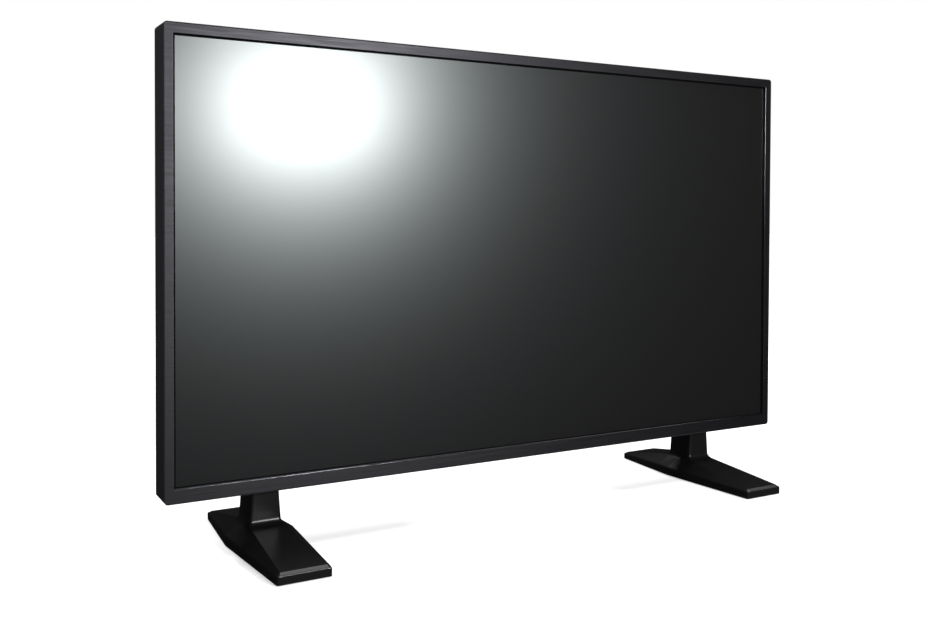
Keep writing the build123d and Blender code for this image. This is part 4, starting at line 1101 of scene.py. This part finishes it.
@dataclass
class Parts:
    """What the sub-assemblies share: the finishes, and how a piece joins the display.

    Attributes:
        finishes: The materials by material slot of the record.
    """

    finishes: dict[str, bpy.types.Material]

    def join(self, piece: Piece, slot: str, body: Body, *nodes: str) -> None:
        """Dress a piece, let it ride on its body and stand for its nodes.

        Args:
            piece: The finished piece.
            slot: The record's material slot that it takes its finish from.
            body: The body that it rides on.
            nodes: Nodes of the frame that it stands for.
        """
        Bench.shade(piece)
        piece.data.materials.clear()
        piece.data.materials.append(self.finishes[slot])
        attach(piece, body.value)
        if nodes:
            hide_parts(*nodes)
        LOG.info("%s is in place", piece.name)


@dataclass
class GasketAndShadeEdge(Parts):
    """The thin black line round the screen: foam that closes the joint to the bezel's lip, and
    painted shade for the shaded gap between the lip and the screen.

    Attributes:
        opening_mm: Width and height of the bezel's opening at the screen.
        middle_mm: Height of the opening's middle above the floor.
        film_mm: The screen's front face, along Y, on which the line lies.
        strip_mm: How far it shows inside the opening.
        thickness_mm: How far it stands in front of the screen.
    """

    opening_mm: tuple[float, float] = (1042.0, 586.0)
    middle_mm: float = 394.9
    film_mm: float = -26.0
    strip_mm: float = 1.4
    thickness_mm: float = 0.3

    def build(self) -> None:
        """Build the edge."""
        Bench.clear()
        bpy.ops.mesh.primitive_plane_add(size=1.0)
        bpy.context.active_object.scale = Vector((*self.opening_mm, 1.0)) * MM
        sheet = Bench.settled("gasket_and_shade_sheet")
        Bench.pick(sheet, UP)
        bpy.ops.mesh.inset(thickness=self.strip_mm * MM)
        bpy.ops.mesh.delete(type="FACE")
        bpy.ops.object.mode_set(mode="OBJECT")
        wall = sheet.modifiers.new("wall", "SOLIDIFY")
        wall.thickness = self.thickness_mm * MM
        wall.offset = 1.0
        bpy.ops.object.modifier_apply(modifier=wall.name)
        place = (0.0, self.film_mm, self.middle_mm)
        # The black strip is partly foam and partly painted shade for the shaded gap at the lip
        edge = Bench.copy(sheet, "gasket_and_shade_edge", Facing.FRONT, place)
        bpy.data.objects.remove(sheet)
        self.join(edge, "gasket_foam", Body.DISPLAY)


@dataclass
class Fasteners(Parts):
    """Round-headed fasteners of one kind, driven in from the back.

    Attributes:
        name: What one of them is called.
        node: The frame's node that they stand for.
        columns_mm: Places across, along X.
        rows_mm: Heights above the floor.
        seat_mm: The face that the heads sit on, along Y.
        head_mm: Radius and height of the head.
        head_sides: How many sides the head has.
        rim_mm: Rounding of the head's rim.
        rim_steps: How many facets the rounding has.
        shank_mm: Radius and length of the shank.
    """

    name: str
    node: str
    columns_mm: tuple[float, ...]
    rows_mm: tuple[float, ...]
    seat_mm: float
    head_mm: tuple[float, float]
    head_sides: int
    rim_mm: float
    rim_steps: int
    shank_mm: tuple[float, float]

    def shape_head(self, head: Piece) -> None:
        """Leave the head's side round. A kind with a knurl presses it here."""

    def sink_recess(self, fastener: Piece) -> None:
        """Leave the head's top plain. A kind with a recess cuts it here."""

    def build(self) -> None:
        """Model one fastener, facing up with its seat at the origin, and copy it."""
        head_radius, head_height = self.head_mm
        shank_radius, shank_length = self.shank_mm
        model = Bench.round_blank(self.name, head_radius, head_height, self.head_sides)
        Bench.round_rim(model, self.rim_mm, self.rim_steps)
        self.shape_head(model)
        Bench.draw_out(model, -UP, head_radius - shank_radius, shank_length)
        self.sink_recess(model)
        places = [(x, self.seat_mm, z) for x in self.columns_mm for z in self.rows_mm]
        for number, place in enumerate(places, 1):
            piece = Bench.copy(model, f"{self.name}_{number}", Facing.BACK, place)
            self.join(piece, "screw_steel", Body.DISPLAY, self.node)
        bpy.data.objects.remove(model)


@dataclass
class CoverScrews(Fasteners):
    """Pan head screws with a cross recess, which hold the rear cover to the bezel.

    Attributes:
        recess_mm: Length, width and depth of one arm of the cross recess.
        recess_taper: What is left of the arm's length and width at its floor.
        overcut_mm: How far the cutter stands out of the head.
    """

    name: str = "cover_screw"
    node: str = "cover_screws"
    columns_mm: tuple[float, ...] = (-468.0, 468.0)
    rows_mm: tuple[float, ...] = (158.2, 245.65, 633.1)
    seat_mm: float = 19.2
    head_mm: tuple[float, float] = (4.0, 1.6)
    head_sides: int = 48
    rim_mm: float = 1.0
    rim_steps: int = 6
    shank_mm: tuple[float, float] = (2.0, 5.5)
    recess_mm: Triple = (4.2, 0.9, 1.2)
    recess_taper: tuple[float, float] = (0.4, 0.7)
    overcut_mm: float = 0.01

    def sink_recess(self, fastener: Piece) -> None:
        """Cut the two arms of the cross recess.

        Args:
            fastener: The screw, facing up.
        """
        length, width, depth = self.recess_mm
        along, across = self.recess_taper
        floor = self.head_mm[1] - depth + self.overcut_mm
        arms = (
            ((length, width, depth), (along, across, 1.0)),
            ((width, length, depth), (across, along, 1.0)),
        )
        for size, shares in arms:
            arm = Bench.square_blank("recess_arm", size)
            Bench.narrow(arm, -UP, shares)
            Bench.move(arm, UP * floor)
            Bench.cut(fastener, arm)


@dataclass
class StandBolts(Fasteners):
    """Cap bolts with a hexagon socket and a knurled head, which hold the feet.

    Attributes:
        knurl_share: How far in a groove between two ridges of the knurl stands.
        key_mm: Size of the socket across its flats.
        key_depth_mm: Depth of the socket.
    """

    name: str = "stand_bolt"
    node: str = "stand_bolts"
    columns_mm: tuple[float, ...] = (-393.0, 393.0)
    rows_mm: tuple[float, ...] = (116.0, 156.0)
    seat_mm: float = 45.3
    head_mm: tuple[float, float] = (3.5, 4.0)
    head_sides: int = 80
    rim_mm: float = 0.35
    rim_steps: int = 3
    shank_mm: tuple[float, float] = (1.95, 7.3)
    knurl_share: float = 0.965
    key_mm: float = 3.0
    key_depth_mm: float = 2.2

    def shape_head(self, head: Piece) -> None:
        """Press a groove of the knurl into every second edge of the head's side.

        Args:
            head: The bolt, while it is only a head.
        """
        Bench.unpick(head, "VERT")
        step = 2.0 * math.pi / self.head_sides
        inside = (self.head_mm[0] - self.rim_mm / 2) * MM
        for vertex in head.data.vertices:
            turn = round(math.atan2(vertex.co.y, vertex.co.x) / step)
            vertex.select = vertex.co.xy.length > inside and turn % 2 == 1
        bpy.ops.object.mode_set(mode="EDIT")
        shares = (self.knurl_share, self.knurl_share, 1.0)
        bpy.ops.transform.resize(value=shares, center_override=(0.0, 0.0, 0.0))
        bpy.ops.object.mode_set(mode="OBJECT")

    def sink_recess(self, fastener: Piece) -> None:
        """Cut the hexagon socket.

        Args:
            fastener: The bolt, facing up.
        """
        height = self.head_mm[1]
        corner = hexagon_corner(self.key_mm)
        socket = Bench.round_blank("socket", corner, height, HEXAGON_SIDES)
        Bench.move(socket, UP * (height - self.key_depth_mm))
        Bench.cut(fastener, socket)


@dataclass(frozen=True)
class SocketFace:
    """Sizes of what one video socket shows.

    Attributes:
        name: The socket's short name.
        node: The frame's node of it.
        shell_mm: Width and depth of its shell.
        rows: For each row of holes, how many it has, and its middle along X and Y in mm.
        pitch_mm: From one hole to the next.
        hole_mm: Radius of a hole at its corners.
        hole_sides: How many sides a hole has.
    """

    name: str
    node: str
    shell_mm: tuple[float, float]
    rows: tuple[tuple[int, float, float], ...]
    pitch_mm: float
    hole_mm: float
    hole_sides: int


@dataclass
class VideoSocketFaces(Parts):
    """Plated shells, contact blocks and hexagon nuts on the faces of two video sockets.

    Attributes:
        sockets: What differs between the two sockets.
        face_mm: The sockets' lowest face, along Z.
        shell_height_mm: How far a shell stands below it.
        shell_wall_mm: Thickness of a shell.
        shell_floor_mm: Thickness of its floor, on which the contact block stands.
        shell_corner_mm: Rounding of a shell's corners.
        shell_corner_steps: How many facets that rounding has.
        shell_taper: What is left of a shell's width at its front side.
        block_gap_mm: Gap between a shell and its contact block.
        block_height_mm: Height of a contact block.
        block_rim_mm: Rounding of a contact block's rim.
        nut_flats_mm: Size of a nut across its flats.
        nut_bore_mm: Radius of a nut's thread.
        bore_sides: How many sides the thread's bore has.
        nut_height_mm: How far a nut stands below the flange.
        nut_rim_mm: Rounding of a nut's rim.
        nut_floor_mm: What the bore leaves standing at the nut's seat.
        nut_from_end_mm: From an end of the socket to the nut's middle.
        flange_mm: The flange's face, along Z.
        rim_steps: How many facets a rounded rim has.
    """

    sockets: tuple[SocketFace, ...] = (
        SocketFace(
            "dvi",
            "dvi_socket",
            (25.0, 9.0),
            ((8, -1.6, -1.9), (8, -1.6, 0.0), (8, -1.6, 1.9), (2, 8.6, -1.3), (2, 8.6, 1.3)),
            1.9,
            0.55,
            4,
        ),
        SocketFace(
            "vga",
            "vga_socket",
            (18.0, 8.4),
            ((5, 0.55, -1.98), (5, -0.55, 0.0), (5, 0.55, 1.98)),
            2.29,
            0.6,
            16,
        ),
    )
    face_mm: float = 157.5
    shell_height_mm: float = 1.3
    shell_wall_mm: float = 0.5
    shell_floor_mm: float = 0.1
    shell_corner_mm: float = 1.6
    shell_corner_steps: int = 5
    shell_taper: float = 0.9
    block_gap_mm: float = 0.3
    block_height_mm: float = 0.8
    block_rim_mm: float = 0.15
    nut_flats_mm: float = 4.7
    nut_bore_mm: float = 1.4
    bore_sides: int = 24
    nut_height_mm: float = 1.6
    nut_rim_mm: float = 0.3
    nut_floor_mm: float = 0.3
    nut_from_end_mm: float = 2.2
    flange_mm: float = 159.5
    rim_steps: int = 2

    def shell(self, socket: SocketFace) -> Piece:
        """Model a shell: a shallow tray whose front side is a little shorter.

        Args:
            socket: The socket that it is for.

        Returns:
            The shell, facing up at the origin.
        """
        shell = Bench.square_blank("video_shell", (*socket.shell_mm, self.shell_height_mm))
        # The copies face down, which turns this side to the front
        Bench.narrow(shell, REAR, (self.shell_taper, 1.0, 1.0))
        Bench.unpick(shell, "EDGE")
        for edge in shell.data.edges:
            low, high = (shell.data.vertices[number].co for number in edge.vertices)
            edge.select = abs(high.z - low.z) > self.shell_height_mm * MM / 2
        bpy.ops.object.mode_set(mode="EDIT")
        rounding = self.shell_corner_mm * MM
        bpy.ops.mesh.bevel(offset=rounding, segments=self.shell_corner_steps, affect="EDGES")
        bpy.ops.object.mode_set(mode="OBJECT")
        Bench.draw_out(shell, UP, self.shell_wall_mm, self.shell_floor_mm - self.shell_height_mm)
        return shell

    def contact_block(self, socket: SocketFace) -> Piece:
        """Model a contact block with its rows of holes.

        Args:
            socket: The socket that it is for.

        Returns:
            The block, facing up at the origin.
        """
        width, depth = socket.shell_mm
        gaps = 2 * (self.shell_wall_mm + self.block_gap_mm)
        size = (width * self.shell_taper - gaps, depth - gaps, self.block_height_mm)
        block = Bench.square_blank("video_block", size)
        Bench.round_rim(block, self.block_rim_mm, self.rim_steps)
        for count, x, y in socket.rows:
            holes = Bench.round_blank(
                "contact_holes", socket.hole_mm, self.block_height_mm, socket.hole_sides
            )
            Bench.repeat(holes, count, socket.pitch_mm)
            Bench.move(holes, Vector((x, y, self.block_height_mm / 2)))
            Bench.cut(block, holes)
        return block

    def nut(self) -> Piece:
        """Model a hexagon nut with its thread's bore.

        Returns:
            The nut, facing up at the origin.
        """
        corner = hexagon_corner(self.nut_flats_mm)
        nut = Bench.round_blank("video_nut", corner, self.nut_height_mm, HEXAGON_SIDES)
        Bench.round_rim(nut, self.nut_rim_mm, self.rim_steps)
        bore = Bench.round_blank("nut_bore", self.nut_bore_mm, self.nut_height_mm, self.bore_sides)
        Bench.move(bore, UP * self.nut_floor_mm)
        Bench.cut(nut, bore)
        return nut

    def dress_socket(self, socket: SocketFace) -> None:
        """Put a shell, its contact block and two nuts on one socket.

        Args:
            socket: The socket.
        """
        low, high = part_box(socket.node)
        x, y, _ = (low + high) / 2 / MM
        left = low.x / MM + self.nut_from_end_mm
        right = high.x / MM - self.nut_from_end_mm
        floor = self.face_mm - self.shell_floor_mm
        shell = self.shell(socket)
        block = self.contact_block(socket)
        nut = self.nut()
        pieces = (
            ("shell", shell, "socket_steel", (x, y, self.face_mm)),
            ("contact_block", block, "video_plastic", (x, y, floor)),
            ("nut_left", nut, "socket_steel", (left, y, self.flange_mm)),
            ("nut_right", nut, "socket_steel", (right, y, self.flange_mm)),
        )
        for name, model, slot, place in pieces:
            piece = Bench.copy(model, f"{socket.name}_{name}", Facing.DOWN, place)
            self.join(piece, slot, Body.DISPLAY)
        for model in (shell, block, nut):
            bpy.data.objects.remove(model)

    def build(self) -> None:
        """Build the faces of both video sockets."""
        for socket in self.sockets:
            self.dress_socket(socket)


@dataclass
class RockerMarks(Parts):
    """The line for on and the ring for off, moulded in white on the mains rocker.

    Attributes:
        pivot_mm: The rocker's pivot.
        rest_tilt: How far the rocker is tilted at rest, in degrees.
        half_width_mm: Half the rocker's width.
        face_drop_mm: From the pivot down to the middle of the rocker's face.
        face_rise_mm: How much further down the face's two ends are.
        from_middle_mm: Where the marks are, along the face.
        line_mm: Width, length and thickness of the line.
        ring_radius_mm: Radius of the ring.
        ring_thickness_mm: Thickness of the ring.
        ring_sides: How many sides the ring has.
        rim_mm: Rounding of a mark's rim.
        rim_steps: How many facets the rounding has.
        sunk_mm: How deep a mark is sunk in the face.
    """

    pivot_mm: Triple = (-86.0, 40.0, 161.5)
    rest_tilt: float = 8.0
    half_width_mm: float = 10.0
    face_drop_mm: float = 2.5
    face_rise_mm: float = 1.25
    from_middle_mm: float = 6.0
    line_mm: Triple = (0.8, 4.0, 0.5)
    ring_radius_mm: float = 1.9
    ring_thickness_mm: float = 0.7
    ring_sides: int = 48
    rim_mm: float = 0.12
    rim_steps: int = 2
    sunk_mm: float = 0.3

    def line(self) -> Piece:
        """Model the line.

        Returns:
            The line, facing up at the origin.
        """
        line = Bench.square_blank("on_line", self.line_mm)
        Bench.round_rim(line, self.rim_mm, self.rim_steps)
        return line

    def ring(self) -> Piece:
        """Model the ring.

        Returns:
            The ring, facing up at the origin.
        """
        height = self.line_mm[2]
        ring = Bench.round_blank("off_ring", self.ring_radius_mm, height, self.ring_sides)
        Bench.round_rim(ring, self.rim_mm, self.rim_steps)
        hole_radius = self.ring_radius_mm - self.ring_thickness_mm
        hole = Bench.round_blank("ring_hole", hole_radius, 2 * height, self.ring_sides)
        Bench.move(hole, UP * -height / 2)
        Bench.cut(ring, hole)
        return ring

    def build(self) -> None:
        """Build both marks on the tilted rocker."""
        pivot = Matrix.Translation(Vector(self.pivot_mm) * MM)
        tilt = Matrix.Rotation(math.radians(self.rest_tilt), 4, "Y")
        slope = math.atan2(self.face_rise_mm, self.half_width_mm)
        down = self.face_drop_mm + self.face_rise_mm * self.from_middle_mm / self.half_width_mm
        for model, side in ((self.line(), 1.0), (self.ring(), -1.0)):
            seat = Vector((side * self.from_middle_mm, 0.0, self.sunk_mm - down))
            lean = Matrix.Rotation(side * slope, 4, "Y")
            mark = Bench.copy(model, f"rocker_{model.name}", Facing.DOWN, (0.0, 0.0, 0.0))
            mark.data.transform(pivot @ tilt @ Matrix.Translation(seat * MM) @ lean)
            self.join(mark, "frame_plastic", Body.ROCKER)
            bpy.data.objects.remove(model)


@dataclass(frozen=True)
class Softbox:
    """One rectangular lamp of the studio.

    Attributes:
        name: Its name.
        place_mm: Where it hangs.
        aim_mm: The point that it faces.
        size_mm: Its width and height.
        watts: Its power.
    """

    name: str
    place_mm: Triple
    aim_mm: Triple
    size_mm: tuple[float, float]
    watts: float

    def hang(self) -> None:
        """Hang the lamp and aim it."""
        light = bpy.data.lights.new(self.name, "AREA")
        light.shape = "RECTANGLE"
        light.size = self.size_mm[0] * MM
        light.size_y = self.size_mm[1] * MM
        light.energy = self.watts
        lamp = bpy.data.objects.new(self.name, light)
        bpy.context.scene.collection.objects.link(lamp)
        place = Vector(self.place_mm) * MM
        ahead = Vector(self.aim_mm) * MM - place
        lamp.location = place
        lamp.rotation_mode = "QUATERNION"
        lamp.rotation_quaternion = ahead.to_track_quat("-Z", "Y")
        lamp.visible_camera = False


@dataclass(frozen=True)
class PhotoCamera:
    """The camera of the photograph.

    Attributes:
        place_mm: Where it stands.
        yaw: Where it points, in degrees from +Y towards +X.
        pitch: How far it points up, in degrees.
        roll: How far it is rolled, in degrees.
        lens_mm: Focal length.
        sensor_mm: Width of the sensor.
        shift: Shift of the lens along the frame, in frame widths.
        clip_mm: The nearest and the furthest that it sees.
    """

    place_mm: Triple = (-830.4, -1350.9, 455.2)
    yaw: float = 29.957
    pitch: float = -1.198
    roll: float = 0.224
    lens_mm: float = 39.213
    sensor_mm: float = 36.0
    shift: tuple[float, float] = (-0.01635, -0.07765)
    clip_mm: tuple[float, float] = (10.0, 100000.0)

    def set_up(self) -> None:
        """Set the camera up and make it the scene's own."""
        data = bpy.data.cameras.new("photo_camera")
        data.lens = self.lens_mm
        data.sensor_width = self.sensor_mm
        data.shift_x, data.shift_y = self.shift
        data.clip_start, data.clip_end = (length * MM for length in self.clip_mm)
        camera = bpy.data.objects.new("photo_camera", data)
        bpy.context.scene.collection.objects.link(camera)
        yaw, pitch, roll = (math.radians(turn) for turn in (self.yaw, self.pitch, self.roll))
        level = math.cos(pitch)
        ahead = Vector((math.sin(yaw) * level, math.cos(yaw) * level, math.sin(pitch)))
        aside = ahead.cross(UP).normalized()
        right = math.cos(roll) * aside + math.sin(roll) * aside.cross(ahead)
        turned = Matrix((right, right.cross(ahead), -ahead)).transposed().to_4x4()
        camera.matrix_world = Matrix.Translation(Vector(self.place_mm) * MM) @ turned
        bpy.context.scene.camera = camera


@dataclass
class Studio:
    """Floor, lamps, dark surround and camera of the photograph.

    Attributes:
        lamps: The softboxes.
        camera: The camera.
        world_light: Strength of the world's light on the display.
        floor_size_mm: Width and depth of the floor.
        floor_sink_mm: How far the floor lies below the pads, so that the two don't mix.
        floor_colour: The sRGB hex colour of the floor.
        floor_lift: How much the floor glows to the camera next to the display.
        floor_clear_mm: From where the glow rises, and from where it is plain white.
        surround_radius_mm: Radius of the black felt round the set.
        surround_high_mm: Height of its upper rim.
        surround_sides: How many sides the felt has.
        surround_glow: How bright the felt is.
        cloth_rise_mm: How far the felt on the floor lies above it.
    """

    lamps: tuple[Softbox, ...] = (
        # In front, where the screen mirrors it to the camera as a glow
        Softbox(
            "key_softbox", (502.0, -2370.0, 877.0), (-349.0, -26.0, 608.0), (550.0, 350.0), 60.0
        ),
        # Overhead, facing straight down
        Softbox(
            "top_softbox", (900.0, -100.0, 2300.0), (900.0, -100.0, 0.0), (3000.0, 1100.0), 50.0
        ),
        # A small one beside the near side
        Softbox(
            "side_softbox", (-1100.0, 150.0, 600.0), (-535.0, 0.0, 550.0), (200.0, 200.0), 1.0
        ),
        # High behind, for the other views
        Softbox(
            "back_softbox", (-600.0, 1900.0, 2900.0), (0.0, 0.0, 390.0), (1000.0, 1000.0), 45.0
        ),
    )
    camera: PhotoCamera = PhotoCamera()
    world_light: float = 0.3
    floor_size_mm: float = 40000.0
    floor_sink_mm: float = 0.2
    floor_colour: str = "e8e8e8"
    floor_lift: float = 0.45
    floor_clear_mm: tuple[float, float] = (900.0, 2200.0)
    surround_radius_mm: float = 3300.0
    surround_high_mm: float = 9000.0
    surround_sides: int = 64
    surround_glow: float = 0.012
    cloth_rise_mm: float = 0.5

    def build(self) -> None:
        """Build the whole studio."""
        bpy.context.scene.view_settings.view_transform = "Standard"
        self.light_world()
        self.lay_floor()
        self.raise_surround()
        for lamp in self.lamps:
            lamp.hang()
        self.camera.set_up()
        LOG.info("studio is set")

    def light_world(self) -> None:
        """Make the world white to look at and plain soft light on the object."""
        world = bpy.data.worlds.new("white_studio")
        bpy.context.scene.world = world
        tree = blank_tree(world)
        rays = add_node(tree, "ShaderNodeLightPath").outputs
        seen = rays["Is Camera Ray"]
        for ray in ("Is Glossy Ray", "Is Transmission Ray"):
            either = {0: seen, 1: rays[ray]}
            seen = add_node(tree, "ShaderNodeMath", {"operation": "MAXIMUM"}, either)
        ends = {"Value": seen, "To Min": self.world_light, "To Max": 1.0}
        strength = add_node(tree, "ShaderNodeMapRange", None, ends)
        glow = {"Color": (1.0, 1.0, 1.0, 1.0), "Strength": strength}
        light = add_node(tree, "ShaderNodeBackground", None, glow)
        add_node(tree, "ShaderNodeOutputWorld", None, {"Surface": light})

    def lay_floor(self) -> None:
        """Lay a pale floor that looks white and keeps the display's shadow."""
        Bench.clear()
        bpy.ops.mesh.primitive_plane_add(
            size=self.floor_size_mm * MM, location=(0.0, 0.0, -self.floor_sink_mm * MM)
        )
        floor = bpy.context.active_object
        floor.name = "pale_floor"
        material = bpy.data.materials.new("matte_white_paper")
        tree = blank_tree(material)
        paper = add_node(tree, "ShaderNodeBsdfDiffuse", None, {"Color": linear(self.floor_colour)})
        place = add_node(tree, "ShaderNodeTexCoord").outputs["Object"]
        away = add_node(tree, "ShaderNodeVectorMath", {"operation": "LENGTH"}, {0: place})
        rise = {
            "Value": away.outputs["Value"],
            "From Min": self.floor_clear_mm[0] * MM,
            "From Max": self.floor_clear_mm[1] * MM,
            "To Min": self.floor_lift,
        }
        soft = {"interpolation_type": "SMOOTHSTEP"}
        lift = add_node(tree, "ShaderNodeMapRange", soft, rise)
        rays = add_node(tree, "ShaderNodeLightPath")
        seen = add_node(tree, "ShaderNodeMath", {"operation": "MULTIPLY"}, {0: rays, 1: lift})
        glow = add_node(tree, "ShaderNodeEmission", None, {"Strength": seen})
        both = add_node(tree, "ShaderNodeAddShader", None, {0: paper, 1: glow})
        add_node(tree, "ShaderNodeOutputMaterial", None, {"Surface": both})
        floor.data.materials.append(material)

    def raise_surround(self) -> None:
        """Stand black felt round the set, open above, that only reflections see."""
        Bench.clear()
        height = self.surround_high_mm - self.cloth_rise_mm
        bpy.ops.mesh.primitive_cylinder_add(
            vertices=self.surround_sides,
            radius=self.surround_radius_mm * MM,
            depth=height * MM,
            end_fill_type="NGON",
            location=(0.0, 0.0, (self.cloth_rise_mm + height / 2) * MM),
        )
        wall = bpy.context.active_object
        wall.name = "black_felt_surround"
        Bench.pick(wall, UP)
        bpy.ops.mesh.delete(type="ONLY_FACE")
        bpy.ops.object.mode_set(mode="OBJECT")
        material = bpy.data.materials.new("black_felt")
        tree = blank_tree(material)
        glow = add_node(tree, "ShaderNodeEmission", None, {"Strength": self.surround_glow})
        add_node(tree, "ShaderNodeOutputMaterial", None, {"Surface": glow})
        wall.data.materials.append(material)
        wall.visible_camera = False
        wall.visible_diffuse = False
        wall.visible_transmission = False
        wall.visible_shadow = False


def main() -> None:
    """Dress the frame, model the fine pieces and set up the studio."""
    logging.basicConfig(level=logging.INFO, format="%(message)s")
    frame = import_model()
    finishes = {}
    for garment in WARDROBE:
        finishes[garment.slot] = garment.put_on(frame["nodes"])
    for assembly in (GasketAndShadeEdge, CoverScrews, StandBolts, VideoSocketFaces, RockerMarks):
        assembly(finishes).build()
    Studio().build()
    LOG.info("sizes written")


if __name__ == "__main__":
    main()
